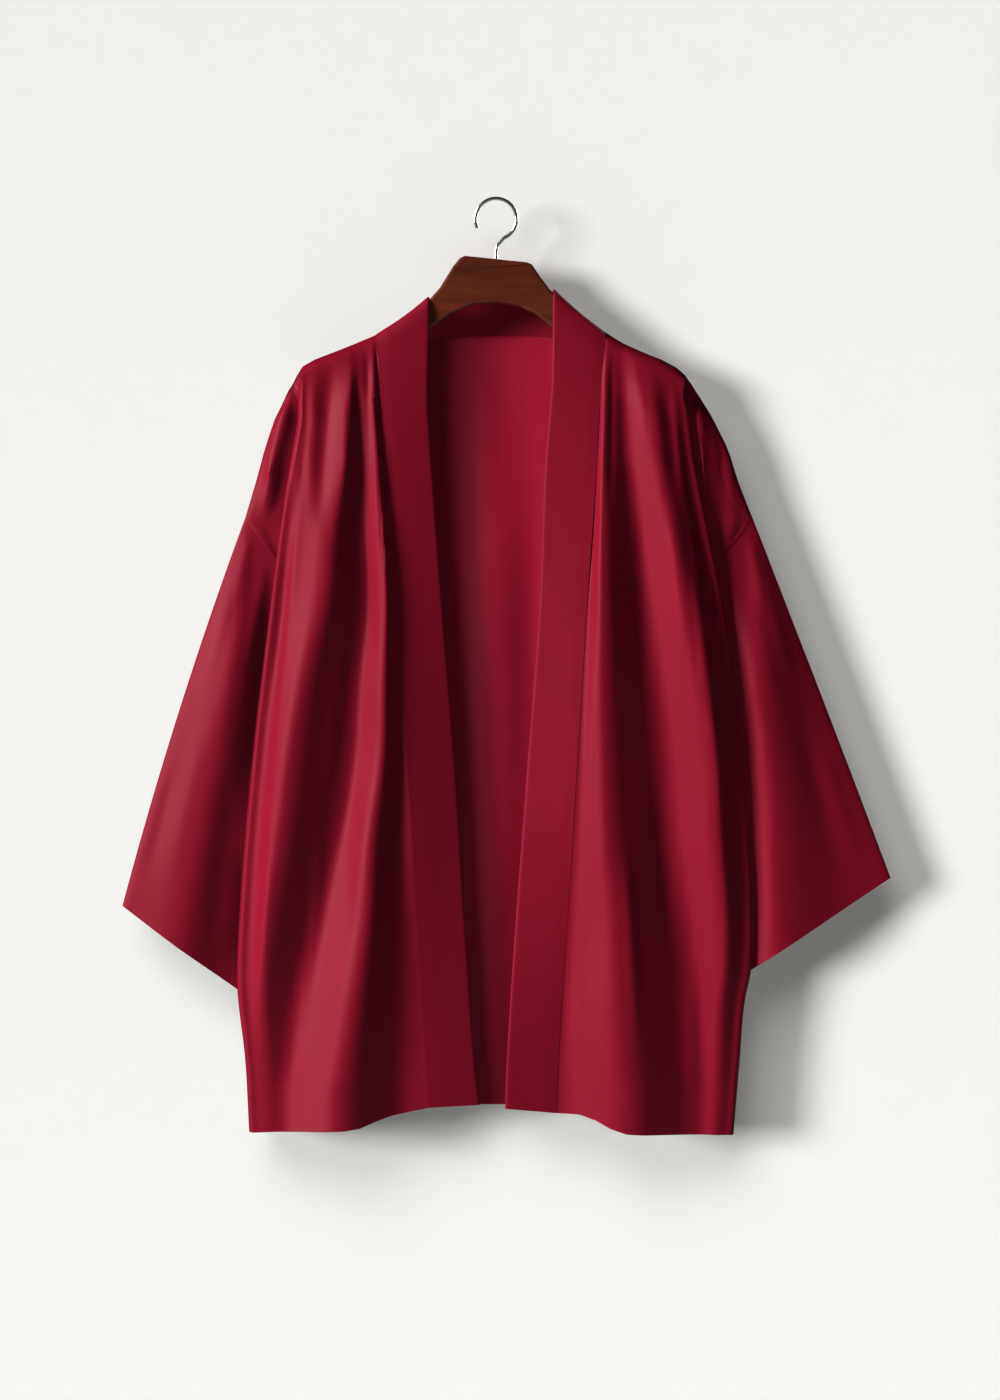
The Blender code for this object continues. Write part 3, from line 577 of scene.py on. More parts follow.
def satin(name, deep, face):
    """Crimson satin: thread streaks, slow tone changes and a fine weave bump."""
    cloth = Finish(name)
    place = cloth.node("ShaderNodeUVMap", {"uv_map": "cloth"})
    streaks = cloth.noise(place, (1400.0, 26.0, 1.0), "2D", Detail=3.0, Roughness=0.6)
    slow = cloth.noise(place, (9.0, 3.5, 1.0), "2D", Detail=4.0, Roughness=0.55)
    weft = cloth.noise(place, (60.0, 1800.0, 1.0), "2D", Detail=2.0, Roughness=0.5)
    tone = streaks * 0.30 + slow * 0.45 + weft * 0.15 + 0.05
    colour = cloth.mix(tone, deep, face)
    roughness = 0.54 + (slow - 0.5) * 0.10 + (streaks - 0.5) * 0.12
    height = streaks * 0.6 + weft * 0.4
    bump = cloth.node("ShaderNodeBump", Strength=0.35, Distance=0.00012, Height=height)
    cloth.set(Base_Color=colour, Roughness=roughness, Normal=bump)
    cloth.set(Sheen_Weight=0.03, Sheen_Roughness=0.42, Sheen_Tint=(1.0, 0.38, 0.46, 1.0))
    cloth.set(IOR=1.46, Specular_IOR_Level=0.20)
    return cloth.material


CRIMSON_DEEP = (0.225, 0.0040, 0.0225, 1.0)
CRIMSON_FACE = (0.328, 0.0118, 0.0500, 1.0)
# The rims' satin is a much darker copy of the panel satin: painted shade for seams and outlines.
PAINTED_SHADE_DEEP = (0.060, 0.0010, 0.0060, 1.0)
PAINTED_SHADE_FACE = (0.090, 0.0025, 0.0120, 1.0)
panel_satin = satin("panel_satin", CRIMSON_DEEP, CRIMSON_FACE)
painted_shade_satin = satin("painted_shade_satin", PAINTED_SHADE_DEEP, PAINTED_SHADE_FACE)
print("materials", [material.name for material in bpy.data.materials])

# %% [markdown]
# ## From a grid to a cloth shell
# A panel starts as a grid primitive. Its points are moved to the panel's place, its UV map is
# laid out in metres along the cloth, and Solidify gives it the thickness of sewn satin. The
# inner curves of the side folds have only a few control points, so the grid's finer columns
# are read from a cubic through them. Solidify keeps the wall even round a bend, except on the
# back, where an even wall would throw a spike from the sharp corner beside the neck.

# %% Grid and shell helpers
PANEL_WALL = 0.0010
BAND_WALL = 0.0006
WELD = 0.00001
SMOOTH_BELOW = math.radians(50)


def refine(points, times):
    """Columns between control columns, on a Catmull-Rom curve. points: (rows, columns, 3)."""
    count = points.shape[1]
    before = np.concatenate((points[:, :1] * 2 - points[:, 1:2], points[:, :-1]), axis=1)
    after = np.concatenate((points[:, 1:], points[:, -1:] * 2 - points[:, -2:-1]), axis=1)
    tangent = (after - before) / 2
    pieces = []
    for k in range(count - 1):
        for step in range(times):
            ends = (points[:, k], points[:, k + 1], tangent[:, k], tangent[:, k + 1])
            pieces.append(cubic(step / times, *ends))
    pieces.append(points[:, -1])
    return np.stack(pieces, axis=1)


def cloth_piece(name, points, node, closed=False, wall=PANEL_WALL, even=True):
    """A cloth shell through points (rows, columns, 3) that replaces a solid."""
    rows, columns = points.shape[:2]
    bpy.ops.object.select_all(action="DESELECT")
    bpy.ops.mesh.primitive_grid_add(x_subdivisions=columns - 1, y_subdivisions=rows - 1, size=2)
    piece = bpy.context.object
    piece.name = name
    mesh = piece.data
    mesh.name = name
    flat = np.empty(len(mesh.vertices) * 3)
    mesh.vertices.foreach_get("co", flat)
    flat = flat.reshape(-1, 3)
    i, j = np.rint((flat[:, :2] + 1) / 2 * (columns - 1, rows - 1)).astype(int).T
    mesh.vertices.foreach_set("co", points[j, i].ravel())
    across = np.linalg.norm(np.diff(points, axis=1), axis=2).cumsum(axis=1)
    down = np.linalg.norm(np.diff(points, axis=0), axis=2).cumsum(axis=0)
    print(name, "flat", round(across[:, -1].max(), 3), "by", round(down[-1].max(), 3), "m")
    across = np.append(0.0, across.mean(axis=0))
    down = np.append(0.0, down.mean(axis=1))
    layout = mesh.uv_layers[0]
    layout.name = "cloth"
    corners = np.empty(len(mesh.loops), dtype=int)
    mesh.loops.foreach_get("vertex_index", corners)
    uv = np.stack((across[i], down[j]), axis=1)[corners]
    layout.data.foreach_set("uv", uv.ravel())
    mesh.update()
    if closed:
        bpy.ops.object.mode_set(mode="EDIT")
        bpy.ops.mesh.select_all(action="SELECT")
        bpy.ops.mesh.remove_doubles(threshold=WELD)
        bpy.ops.object.mode_set(mode="OBJECT")
    shell = piece.modifiers.new("shell", "SOLIDIFY")
    shell.thickness = wall
    shell.offset = 0.0
    shell.use_even_offset = even
    # The rim takes the second, darker satin: painted shade along every edge of the shell.
    shell.material_offset_rim = 1
    mesh.materials.clear()
    mesh.materials.append(panel_satin)
    mesh.materials.append(painted_shade_satin)
    bpy.ops.object.modifier_apply(modifier="shell")
    bpy.ops.object.shade_smooth_by_angle(angle=SMOOTH_BELOW)
    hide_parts(node)
    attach(piece, "root")
    edges = points[1:, 1:] - points[:-1, :-1]
    other = points[1:, :-1] - points[:-1, 1:]
    area = float(np.linalg.norm(np.cross(edges, other), axis=2).sum() / 2)
    print(name, len(piece.data.polygons), "faces", round(area, 4), "square metres")
    return piece, area


print("wall of a panel", PANEL_WALL, "and of each band layer", BAND_WALL)

# %% [markdown]
# ## Heights of the rows
# The cloth bends sharply only where it rolls over the hanger, so the rows are close together
# at the top and even below. Rows pass through the top of the armhole and the armpit, where
# the panel's outer line has its corners.

# %% Row heights
EDGE_GAP = 0.00005
LINE_GAP = 0.00055
TUCK = 0.003
TUCK_DEPTH = 0.0003
ROLL = 0.010
FAN_FALL = 0.026
INNER_TURN = 0.003
TOP_FALLS = np.array((0, 0.5, 1.2, 2.2, 3.5, 5, 7, 10, 14, 20, 28, 38, 50, 62)) * MM
FIRST_EVEN_DROP = 0.262
LAST_EVEN_DROP = 0.885
ROW_DROPS = np.concatenate((
    np.linspace(FIRST_EVEN_DROP, ARMHOLE_TOP, 5, endpoint=False),
    np.linspace(ARMHOLE_TOP, ARMPIT, 10, endpoint=False),
    np.linspace(ARMPIT, LAST_EVEN_DROP, 46),
))


def row_drops(top_drop, hem_drop):
    """Drops of every row (rows, columns) of columns with these tops and hems."""
    upper = top_drop[None, :] + TOP_FALLS[:, None]
    lower = np.repeat(ROW_DROPS[:, None], len(top_drop), axis=1)
    return np.concatenate((upper, lower, hem_drop[None, :]))


print("rows in a panel", len(TOP_FALLS) + len(ROW_DROPS) + 1)

# %% [markdown]
# ## The fold at each side
# Hung on a narrow hanger, a wide coat has cloth to spare at its sides. It turns back behind
# the front, runs inward, turns again and comes out to the armhole, like a letter Z seen from
# above. The sleeve hangs inside that fold. The path is a dozen points for each row.

# %% Side fold
GUSSET_POINTS = 12
TURN_ANGLES = (-50, 0, 50, 90)
MIDDLE_SLACK = 0.0003
INNER_SLACK = 0.0008
LAST_SHARES = (0.4, 0.75, 0.93, 1.0)
LAST_ROUND = 6
SHOULDER_START = 0.001
SHOULDER_SPREAD = 0.014
BETWEEN = 4


def outer_line(side, drop):
    """The panel's outer line: dropped shoulder, armhole, then side seam."""
    shoulder = straight(SHOULDER[side], "drop", "out", drop)
    seam = straight(ARMHOLE[side], "drop", "out", drop)
    return np.where(drop < ARMHOLE_TOP, shoulder, seam)


def armhole_depth(drop):
    t = np.clip((drop - ARMHOLE_TOP) / (ARMPIT - ARMHOLE_TOP), 0.0, 1.0)
    return ARMHOLE_DEPTH * 2 * np.sqrt(t * (1 - t))


def gusset_point(index, side, drop, face, edge):
    """Point number index (0 to 11) of the side fold: its out and its depth."""
    middle = smooth(LAYERS, "middle", drop)
    inner = smooth(LAYERS, "inner", drop)
    back = smooth(SIDES[side], "inset", drop) + INNER_TURN
    last = armhole_depth(drop) + LINE_GAP
    turn = (face - middle) / 2
    if index < 4:
        swing = math.radians(TURN_ANGLES[index])
        out = edge - turn + turn * math.cos(swing)
        return out, (face + middle) / 2 - turn * math.sin(swing)
    if index == 4:
        return (edge - turn + back) / 2, middle - MIDDLE_SLACK
    if index == 5:
        return back, middle - INNER_SLACK
    if index == 6:
        return back - INNER_TURN, (middle + inner) / 2
    if index == 7:
        return back, inner
    share = LAST_SHARES[index - 8]
    rounding = math.sqrt(1 - share ** LAST_ROUND)
    return back + (outer_line(side, drop) - back) * share, last + (inner - last) * rounding


def side_fold(side, hem_drop, layer_edge, start):
    """The side fold beyond a starting column (rows, 1, 3), with depth as a positive number."""
    share = np.arange(1, GUSSET_POINTS + 1) / GUSSET_POINTS
    top_out = HANGER_END[side] + SHOULDER_START + SHOULDER_SPREAD * share
    top_drop = straight(SHOULDER[side], "out", "drop", top_out)
    drops = row_drops(top_drop, np.full(GUSSET_POINTS, hem_drop))
    edge, face = layer_edge(drops)
    opened = ease((drops - top_drop) / FAN_FALL)
    out = np.empty_like(drops)
    depth = np.empty_like(drops)
    for index in range(GUSSET_POINTS):
        here = gusset_point(index, side, drops[:, index], face[:, index], edge[:, index])
        out[:, index], depth[:, index] = here
    out = top_out + (out - top_out) * opened
    depth = LINE_GAP + (depth - LINE_GAP) * opened
    on_shoulder = drops[:, -1] < ARMHOLE_TOP
    out[:, -1] = np.where(on_shoulder, outer_line(side, drops[:, -1]), out[:, -1])
    depth[:, -1] = np.where(on_shoulder, LINE_GAP, depth[:, -1])
    control = np.stack((side * out, depth, -drops), axis=2)
    return refine(np.concatenate((start, control), axis=1), BETWEEN)[:, 1:]


print("side fold control points", GUSSET_POINTS)

# %% [markdown]
# ## The fronts
# Each front is one length of cloth from the collar band's seam to the side. Its columns are
# spread evenly between the seam and the folded edge, so they converge at the shoulder as the
# threads of the hung cloth do. A first column is tucked into the band, and the last ones are
# the side fold and the dropped shoulder.

# %% Build the fronts
FRONT_COLUMNS = 84
OUTER_COLUMNS = 17
FOLD_SHARE = 0.86
FOLD_HEM_OUT = 0.24
ROLLS_TOP = 0.190
ROLLS_GROW = 0.030


def front_points(side, name):
    """A front from the band's seam to the armhole: (rows, columns, 3)."""
    seam_top = straight(BAND[side], "drop", "seam", NECK_DROP)
    end = HANGER_END[side]
    t = np.linspace(0, 1, FRONT_COLUMNS + 1)
    top_out = seam_top + (end - seam_top) * t
    top_drop = straight(SHOULDER[side], "out", "drop", top_out)
    hem_edge = smooth(SIDES[side], "edge", HEM_DROP)
    hem_out = HEM_SEAM + (hem_edge - HEM_SEAM) * t
    hem_drop = straight(HEM[side], "out", "drop", hem_out)
    drops = row_drops(top_drop, hem_drop)

    def layer_edge(drop):
        edge = smooth(SIDES[side], "edge", drop)
        middle = smooth(LAYERS, "middle", drop)
        return edge, np.maximum(front_depth(side, edge, drop), middle + LEAST_TURN)

    edge, face = layer_edge(drops)
    fall = drops - top_drop
    seam = smooth(BAND[side], "seam", drops)
    turn = (face - smooth(LAYERS, "middle", drops)) / 2
    out = seam + (edge - turn - seam) * t
    out = top_out + (out - top_out) * ease(fall / SPREAD_FALL)
    depth = front_depth(side, out, drops)
    depth = depth + (face - depth) * ease((t - FOLD_SHARE) / (1 - FOLD_SHARE))
    depth = depth + creases(name, side * out, drops) * ease(fall / CREASE_FALL)
    depth = EDGE_GAP + (depth - EDGE_GAP) * quarter_round(fall, ROLL)
    layer = np.stack((side * out, depth, -drops), axis=2)
    free = np.stack((
        side * smooth(BAND[side], "free", drops[:, 0]),
        smooth(BAND[side], "free_depth", drops[:, 0]) * quarter_round(fall[:, 0], ROLL),
        -drops[:, 0],
    ), axis=1)
    across = free - layer[:, 0]
    tuck = layer[:, 0] + across * (TUCK / np.linalg.norm(across, axis=1))[:, None]
    fold_hem = straight(HEM[side], "out", "drop", FOLD_HEM_OUT)
    fold = side_fold(side, fold_hem, layer_edge, layer[:, -1:])
    outer = fold[:, -OUTER_COLUMNS:]
    outer_drop = -outer[:, :, 2]
    fade = np.sqrt(np.sin(np.linspace(0, math.pi, OUTER_COLUMNS)))
    rolls = creases(name.replace("front", "shoulder"), outer[:, :, 0], outer_drop)
    outer[:, :, 1] += rolls * fade * ease((outer_drop - ROLLS_TOP) / ROLLS_GROW)
    points = np.concatenate((tuck[:, None], layer, fold), axis=1)
    points[:, :, 1] *= -1
    return points


fronts = {}
for side, name in ((RIGHT, "front_right"), (LEFT, "front_left")):
    points = front_points(side, name)
    fronts[side], area = cloth_piece("satin_" + name, points, name)

# %% [markdown]
# ## The collar band
# A haori's collar is one long strip, folded double and sewn over the edges of the panels,
# along both fronts and round the neck. It is laid as a loft between two curves, its seam
# and its free edge. The loft's section goes up the outer layer, round the soft fold and down
# the inner layer, so the panels' edges lie between the two as they do in the sewn collar.

# %% Build the collar band
BAND_ROWS = 110
BAND_COLUMNS = 14
BAND_HALF = 0.0010
BAND_SEAM_HALF = 0.0006
BAND_SWELL = 0.012
SEAM_SETTLE = 0.0002
BAND_FOLD = 0.0030
BAND_FOLD_COLUMNS = 5
ROW_CROWDING = 0.45
SHOULDER_REACH = 0.012
NECK_BETWEEN = 6


def band_front(side):
    """Seam and free edge down one front, from the neck to the hem: (rows, 3) each."""
    share = np.linspace(0, 1, BAND_ROWS + 1)
    share = share * (1 - ROW_CROWDING + ROW_CROWDING * share)
    seam_hem = straight(HEM[side], "out", "drop", HEM_SEAM)
    free_hem = straight(HEM[side], "out", "drop", HEM_FREE)
    seam_top, free_top = BAND_TOP[side]
    seam_drop = seam_top + (seam_hem - seam_top) * share
    free_drop = free_top + (free_hem - free_top) * share
    seam_out = smooth(BAND[side], "seam", seam_drop)
    free_out = smooth(BAND[side], "free", free_drop)
    seam_depth = front_depth(side, seam_out, seam_drop)
    round_top = quarter_round(seam_drop - NECK_DROP, ROLL)
    seam_depth = EDGE_GAP + (seam_depth - EDGE_GAP) * round_top
    free_depth = smooth(BAND[side], "free_depth", free_drop)
    seam = np.stack((side * seam_out, -seam_depth, -seam_drop), axis=1)
    free = np.stack((side * free_out, -free_depth, -free_drop), axis=1)
    return seam, free


def neck_sections():
    """Seam and free edge round the neck, from the right shoulder to the left one."""
    curves = []
    for curve in ("seam", "free"):
        x, y, drop = (column(NECK, curve + end) for end in ("_x", "_y", "_drop"))
        curves.append(np.stack((x, y, -drop), axis=1))
    return curves


def band_points():
    """The whole band, up one layer and down the other: (rows, columns, 3)."""
    right = band_front(RIGHT)
    left = band_front(LEFT)
    neck = neck_sections()
    ends = []
    for k in (0, 1):
        joined = np.concatenate((right[k][:1], neck[k], left[k][:1]))
        fine = refine(joined[None], NECK_BETWEEN)[0]
        ends.append(np.concatenate((right[k][::-1], fine[1:-1], left[k])))
    seam, free = ends
    width = np.linalg.norm(free - seam, axis=1)
    turned = np.sin(np.linspace(0, math.pi / 2, BAND_FOLD_COLUMNS + 1))[1:]
    flat = np.linspace(0, 1, BAND_COLUMNS + 1)
    start = (1 - BAND_FOLD / width)[:, None]
    t = np.concatenate((flat * start, start + (1 - start) * turned), axis=1)
    half = np.concatenate((np.ones(BAND_COLUMNS + 1), np.sqrt(1 - turned ** 2)))
    middle = seam[:, None] + (free - seam)[:, None] * t[:, :, None]
    over = np.maximum(0.0, 1 - np.abs(seam[:, 1]) / SHOULDER_REACH)
    middle[:, :, 2] -= NECK_SAG * over[:, None] * (4 * t * (1 - t))
    settle = ease(1 - t * width[:, None] / BAND_SWELL)
    middle[:, :, 2] -= SEAM_SETTLE * over[:, None] * settle
    along = np.gradient(middle, axis=0)
    normal = np.cross((free - seam)[:, None], along)
    normal = normal / np.linalg.norm(normal, axis=2, keepdims=True)
    half = (BAND_HALF - (BAND_HALF - BAND_SEAM_HALF) * settle) * half
    outer = middle + normal * half[:, :, None]
    inner = middle - normal * half[:, :, None]
    return np.concatenate((outer, inner[:, :-1][:, ::-1]), axis=1)


collar, area = cloth_piece("satin_collar_band", band_points(), "collar_band", wall=BAND_WALL)

# %% [markdown]
# ## The back
# The back is one wide panel. Its top follows the shoulder line on both sides and dips behind
# the collar band between them, where a first row is tucked into the band. Both its sides fold
# in as the fronts' do.

# %% Build the back
BACK_EACH = 34
BACK_INNER = {RIGHT: 0.1195, LEFT: 0.1105}
BACK_NECK_BETWEEN = 5
SHOULDER_TUCK = 0.02
TUCK_GROWS = 5
INSET_TOP = 0.2
INSET_GROWS = 0.1
HEM_WIDTH = 0.240
HEM_LEVEL = 0.03
HEM_DIPS = 0.17
SIDE_SHARE = 0.9


def back_top():
    """The back's top edge and the way it tucks in: (columns, 3) each, from right to left."""
    seam, free = neck_sections()
    seam, free = seam[2:-2], free[2:-2]
    along = (seam - free) / np.linalg.norm(seam - free, axis=1)[:, None]
    neck = np.stack((seam, along))
    neck[0, :, 1] = np.maximum(neck[0, :, 1], EDGE_GAP)
    neck, along = refine(neck, BACK_NECK_BETWEEN)
    ends = []
    for side, inner in BACK_INNER.items():
        out = np.linspace(HANGER_END[side], inner, BACK_EACH)
        drop = straight(SHOULDER[side], "out", "drop", out)
        ends.append(np.stack((side * out, np.full(BACK_EACH, EDGE_GAP), -drop), axis=1))
    still = np.tile((0.0, -SHOULDER_TUCK, 0.0), (BACK_EACH, 1))
    count = np.arange(len(along))
    grown = ease(np.minimum(count, count[::-1]) / TUCK_GROWS)[:, None]
    top = np.concatenate((ends[0], neck, ends[1][::-1]))
    tuck = grown * -along + (1 - grown) * still[:1]
    return top, np.concatenate((still, tuck, still))


def back_points():
    """The back with both its side folds: (rows, columns, 3)."""
    top, tuck = back_top()
    top_x, top_y, top_drop = top[:, 0], top[:, 1], -top[:, 2]
    sides = np.where(top_x < 0, RIGHT, LEFT)
    t = np.abs(top_x) / np.where(top_x < 0, HANGER_END[RIGHT], HANGER_END[LEFT])

    def layer_edge(side):
        def edge_and_face(drop):
            inset = BACK_INSET * ease((drop - INSET_TOP) / INSET_GROWS)
            edge = smooth(SIDES[side], "edge", drop) - inset
            face = back_depth(side * edge, drop)
            return edge, np.maximum(face, smooth(LAYERS, "middle", drop) + LEAST_TURN)
        return edge_and_face

    hem = BACK_HEM + (BACK_HEM_SIDE - BACK_HEM) * ease((t * HEM_WIDTH - HEM_LEVEL) / HEM_DIPS)
    drops = row_drops(top_drop, hem)
    fall = drops - top_drop
    edge, face = np.where(sides < 0, layer_edge(RIGHT)(drops), layer_edge(LEFT)(drops))
    turn = (face - smooth(LAYERS, "middle", drops)) / 2
    x = sides * t * (edge - turn)
    x = top_x + (x - top_x) * ease(fall / SPREAD_FALL)
    depth = back_depth(x, drops)
    depth = depth + (face - depth) * ease((t - SIDE_SHARE) / (1 - SIDE_SHARE))
    depth = depth + creases("back", x, drops) * ease(fall / CREASE_FALL)
    depth = top_y + (depth - top_y) * quarter_round(fall, ROLL)
    layer = np.stack((x, depth, -drops), axis=2)
    right = side_fold(RIGHT, BACK_HEM_SIDE, layer_edge(RIGHT), layer[:, :1])
    left = side_fold(LEFT, BACK_HEM_SIDE, layer_edge(LEFT), layer[:, -1:])
    points = np.concatenate((right[:, ::-1], layer, left), axis=1)
    above = points[:1].copy()
    above[0, right.shape[1]:right.shape[1] + len(top)] += tuck * TUCK
    return np.concatenate((above, points))


back, area = cloth_piece("satin_back", back_points(), "back_panel", even=False)

# %% [markdown]
# ## The sleeves
# A haori sleeve is a straight tube, folded along its top and open at the cuff. Hung, it lies
# almost flat in the side fold, and its two sheets swell a little where they come out of it.

# %% Build the sleeves
SLEEVE_ROWS = 70
SLEEVE_COLUMNS = 88
SWELL_START = 0.35
TUCK_FADES = 0.03
CREASE_RISE = 0.5
CREASE_START = 0.05


def sleeve_points(side, name):
    """The tube from armhole to cuff, each row once round from the crease at its top."""
    shape = SLEEVE[side]
    angle = np.linspace(0, 2 * math.pi, SLEEVE_COLUMNS + 1)
    t = (1 - np.cos(angle)) / 2
    top_out = column(ARMHOLE[side], "out")[0]
    start = np.outer(1 - t, (top_out, ARMHOLE_TOP)) + np.outer(t, (ARMPIT_OUT, ARMPIT))
    end = np.outer(1 - t, shape["tip"]) + np.outer(t, shape["inner"])
    length = np.linalg.norm(end - start, axis=1)
    v = np.linspace(0, 1, SLEEVE_ROWS + 1)[:, None]
    first = -TUCK * np.abs(np.sin(angle)) / length
    v = first + (1 - first) * v
    place = start[None] + (end - start)[None] * v[:, :, None]
    out = place[:, :, 0] + shape["bow"] * 4 * v * (1 - v) * (1 - t)
    beyond = t - shape["crest_top"] - (shape["crest_cuff"] - shape["crest_top"]) * v
    width = np.where(beyond > 0, shape["inward"], shape["outer"])
    swell = np.exp(-((beyond / width) ** 2)) * ease(v / SWELL_START)
    tucked = TUCK_DEPTH * (1 - ease(v / TUCK_FADES))
    drop = place[:, :, 1]
    front = np.sin(angle)
    before = creases(name, side * out, drop)
    small = np.where(front > 0, before, creases(name + "_back", side * out, drop))
    small = small * ease(np.abs(front) / CREASE_RISE) * ease(v / CREASE_START)
    depth = front * (ARMHOLE_DEPTH - tucked + shape["swell"] * swell)
    depth = depth + np.sign(front) * small
    return np.stack((side * out, -depth, -drop), axis=2)


sleeves = {}
for side, name in ((RIGHT, "sleeve_right"), (LEFT, "sleeve_left")):
    points = sleeve_points(side, name)
    points[:, -1] = points[:, 0]
    sleeves[side], area = cloth_piece("satin_" + name, points, name, closed=True)

# %% [markdown]
# ## The hanger
# The hanger is turned and planed from one board, stained walnut brown and varnished. Its
# solid has the right outline and rounded edges, so it stays, with a wood made of long noise:
# rings stretched along the arms, fine pores, and a thin gloss coat. The hook stays as well,
# as plated wire whose gloss is a little uneven.

# %% Wood and steel
OBJECT_PLACE = 3
WALNUT_DARK = (0.050, 0.0105, 0.0045, 1.0)
WALNUT_LIGHT = (0.27, 0.064, 0.027, 1.0)
STEEL = (0.50, 0.50, 0.52, 1.0)


def walnut():
    wood = Finish("walnut_stain")
    place = wood.node("ShaderNodeTexCoord", output=OBJECT_PLACE)
    rings = wood.noise(
        place, (3.2, 16.0, 24.0), Scale=1.6, Detail=5.0, Roughness=0.55, Distortion=0.8,
    )
    pores = wood.noise(place, (24.0, 420.0, 420.0), Detail=2.0, Roughness=0.5)
    tone = rings * 0.85 + pores * 0.25 - 0.05
    colour = wood.mix(tone, WALNUT_DARK, WALNUT_LIGHT)
    bump = wood.node("ShaderNodeBump", Strength=0.25, Distance=0.0003, Height=pores)
    wood.set(Base_Color=colour, Roughness=0.34 + rings * 0.12, Normal=bump)
    wood.set(Coat_Weight=0.35, Coat_Roughness=0.18)
    return wood.material


def plated_steel():
    steel = Finish("plated_steel")
    place = steel.node("ShaderNodeTexCoord", output=OBJECT_PLACE)
    grain = steel.noise(place, (300.0, 300.0, 300.0), Detail=2.0)
    steel.set(Base_Color=STEEL, Metallic=1.0, Roughness=0.26 + grain * 0.12)
    return steel.material


def dress(node, material):
    """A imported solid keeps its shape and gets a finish."""
    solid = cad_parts[node]
    solid.data.materials.clear()
    solid.data.materials.append(material)
    print(node, "wears", material.name)


dress("hanger_body", walnut())
dress("hanger_hook", plated_steel())

# %% [markdown]
# ## Wall, floor, light and camera
# The coat hangs just in front of a plain pale wall, which takes its soft shadow. The key
# light comes from the left and grazes the cloth, so that every fold has a bright and a dark
# flank. Two lamps light only the wall and the floor, and one only the back, whose inside
# shows between the fronts. A faint one above reaches everything, and two from behind shape
# the coat's rear. The wall isn't part of the coat, so its back face is clear and it neither
# lights nor shades the cloth, and the cloth throws no red light on it. The world hardly
# lights at all, but the camera sees it as pale as the wall.

# %% Stage
scene = bpy.context.scene
WALL_Y = 0.050
FLOOR_Z = -1.75
PALE = (0.80, 0.797, 0.780, 1.0)


def plane(name, size, location, rotation):
    bpy.ops.object.select_all(action="DESELECT")
    bpy.ops.mesh.primitive_plane_add(size=size, location=location, rotation=rotation)
    thing = bpy.context.object
    thing.name = name
    bpy.ops.object.transform_apply(location=True, rotation=True, scale=True)
    return thing


def either(tree, factor, first, second, output):
    """An output gets the first shader where a factor is 0 and the second where it is 1."""
    choice = tree.nodes.new("ShaderNodeMixShader")
    for socket, end in zip(choice.inputs, (factor, first, second)):
        tree.links.new(end, socket)
    tree.links.new(choice.outputs[0], tree.nodes[output].inputs[0])


def pale_finish(name, glow, clear_back):
    pale = Finish(name)
    pale.set(Base_Color=PALE, Roughness=0.9, Specular_IOR_Level=0.1)
    pale.set(Emission_Color=PALE, Emission_Strength=glow)
    if clear_back:
        behind = pale.new("ShaderNodeNewGeometry").outputs["Backfacing"]
        clear = pale.new("ShaderNodeBsdfTransparent").outputs[0]
        either(pale.tree, behind, pale.shader.outputs[0], clear, "Material Output")
    return pale.material


wall = plane("wall", 6.0, (0.0, WALL_Y, 0.6), (math.radians(90), 0.0, 0.0))
wall.data.materials.append(pale_finish("pale_wall", glow=0.030, clear_back=True))
wall.visible_shadow = False
wall.visible_diffuse = False
wall.visible_glossy = False
floor = plane("floor", 12.0, (0.0, 0.0, FLOOR_Z), (0.0, 0.0, 0.0))
floor.data.materials.append(pale_finish("pale_floor", glow=0.05, clear_back=False))
print("wall at", WALL_Y, "floor at", FLOOR_Z)

# %% Light
WARM = (1.0, 0.985, 0.96)
WHITE = (1.0, 1.0, 1.0)


def sun(name, strength, angle, direction, colour):
    """A far light that shines along a direction, with a soft edge."""
    data = bpy.data.lights.new(name, "SUN")
    data.energy = strength
    data.angle = math.radians(angle)
    data.color = colour
    light = bpy.data.objects.new(name, data)
    scene.collection.objects.link(light)
    x, y, z = direction
    flat = math.hypot(x, y)
    light.rotation_euler = (math.atan2(flat, -z), 0.0, math.atan2(y, x) - math.pi / 2)
    return light


def only_on(light, things):
    """The light reaches these objects and no others."""
    lit = bpy.data.collections.new("lit_by_" + light.name)
    for thing in things:
        lit.objects.link(thing)
    light.light_linking.receiver_collection = lit


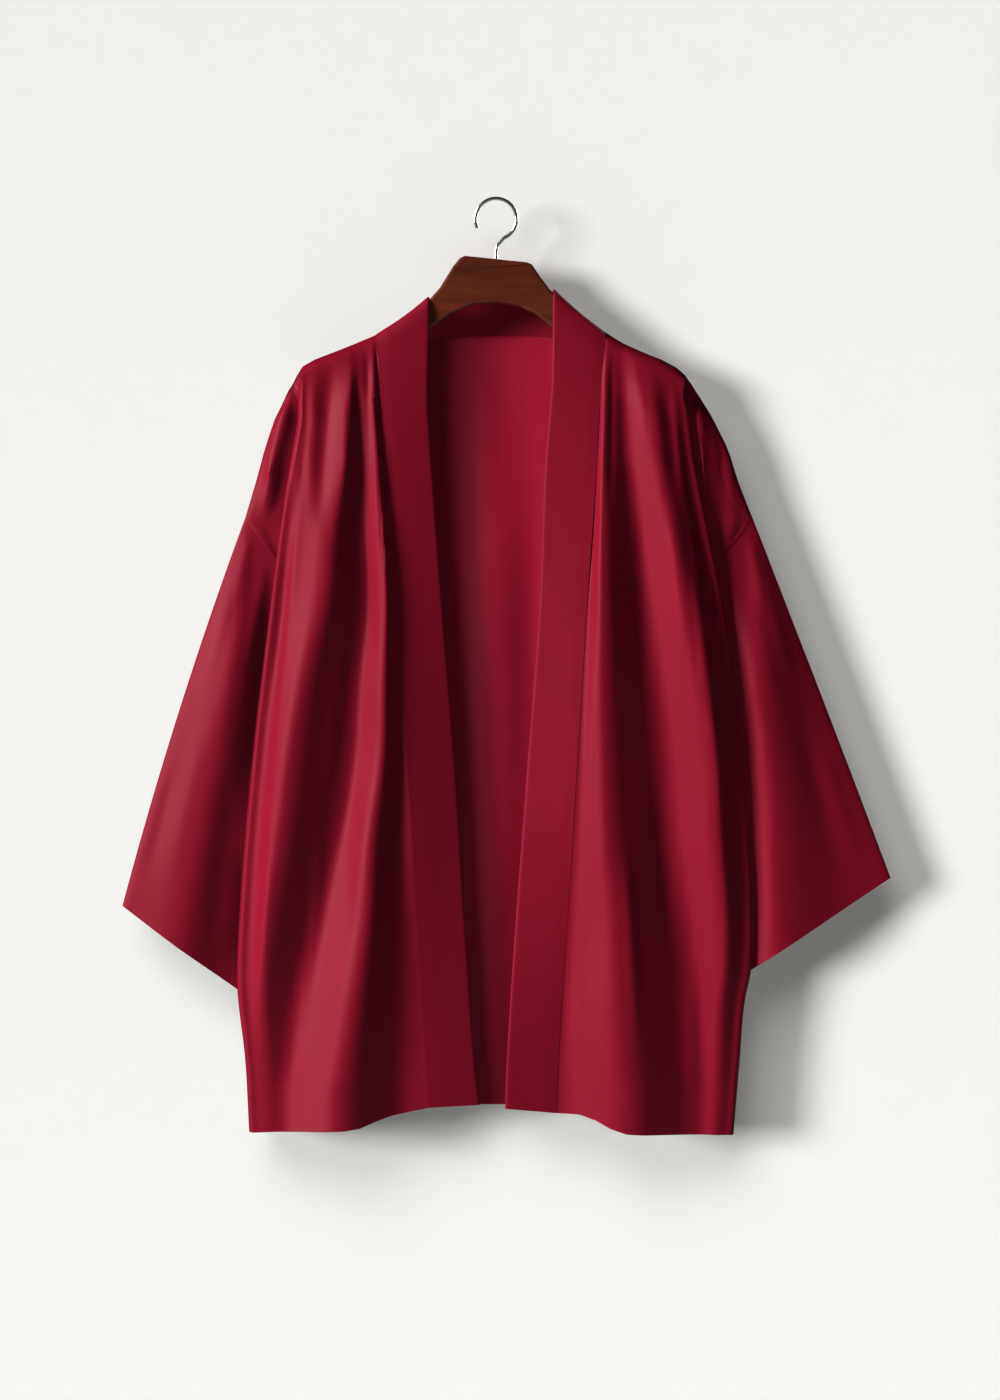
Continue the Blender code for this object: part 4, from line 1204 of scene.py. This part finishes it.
cloth = list(fronts.values()) + list(sleeves.values()) + [collar, back]
for thing in cloth:
    thing.visible_diffuse = False
hanger = [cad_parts["hanger_body"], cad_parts["hanger_hook"]]
rear = list(sleeves.values()) + [back, collar] + hanger + [floor]
lamps = (
    ("key", 4.3, 22, (0.82, 0.456, -0.34), WARM, cloth + hanger),
    ("wall_lamp", 2.38, 19, (0.76, 0.64, -0.10), WHITE, [wall, floor]),
    ("wall_lamp_above", 0.98, 34, (0.22, 0.62, -0.52), WHITE, [wall, floor]),
    ("inside_lamp", 1.5, 30, (0.55, 0.80, -0.20), WHITE, [back]),
    ("fill_above", 0.08, 60, (0.05, 0.60, -0.80), WHITE, None),
    ("back_left", 2.4, 35, (-0.70, -0.66, -0.25), WHITE, rear),
    ("back_right", 0.5, 35, (0.70, -0.65, -0.30), WHITE, rear),
)
for name, strength, angle, direction, colour, reaches in lamps:
    light = sun(name, strength, angle, direction, colour)
    if reaches:
        only_on(light, reaches)
world = bpy.data.worlds.new("studio")
scene.world = world
world.use_nodes = True
world_tree = world.node_tree
sky = world_tree.nodes["Background"]
sky.inputs["Color"].default_value = (0.97, 0.96, 0.94, 1.0)
sky.inputs["Strength"].default_value = 0.012
backdrop = world_tree.nodes.new("ShaderNodeBackground")
backdrop.inputs["Color"].default_value = PALE
backdrop.inputs["Strength"].default_value = 0.80
seen = world_tree.nodes.new("ShaderNodeLightPath").outputs["Is Camera Ray"]
either(world_tree, seen, sky.outputs[0], backdrop.outputs[0], "World Output")

# %% Camera
DISTANCE = 4.0
FRAME_HEIGHT = 1.4
SENSOR = 36.0
AIM_X = 0.004
AIM_Z = -0.5
camera_data = bpy.data.cameras.new("camera")
camera_data.sensor_width = SENSOR
camera_data.lens = SENSOR * DISTANCE / FRAME_HEIGHT
camera = bpy.data.objects.new("camera", camera_data)
scene.collection.objects.link(camera)
camera.location = (AIM_X, -DISTANCE, AIM_Z)
camera.rotation_euler = (math.radians(90), 0.0, 0.0)
scene.camera = camera
view = scene.view_settings
view.view_transform = "Standard"
view.gamma = 0.76
view.exposure = 0.28
print("lens", round(camera_data.lens, 1))
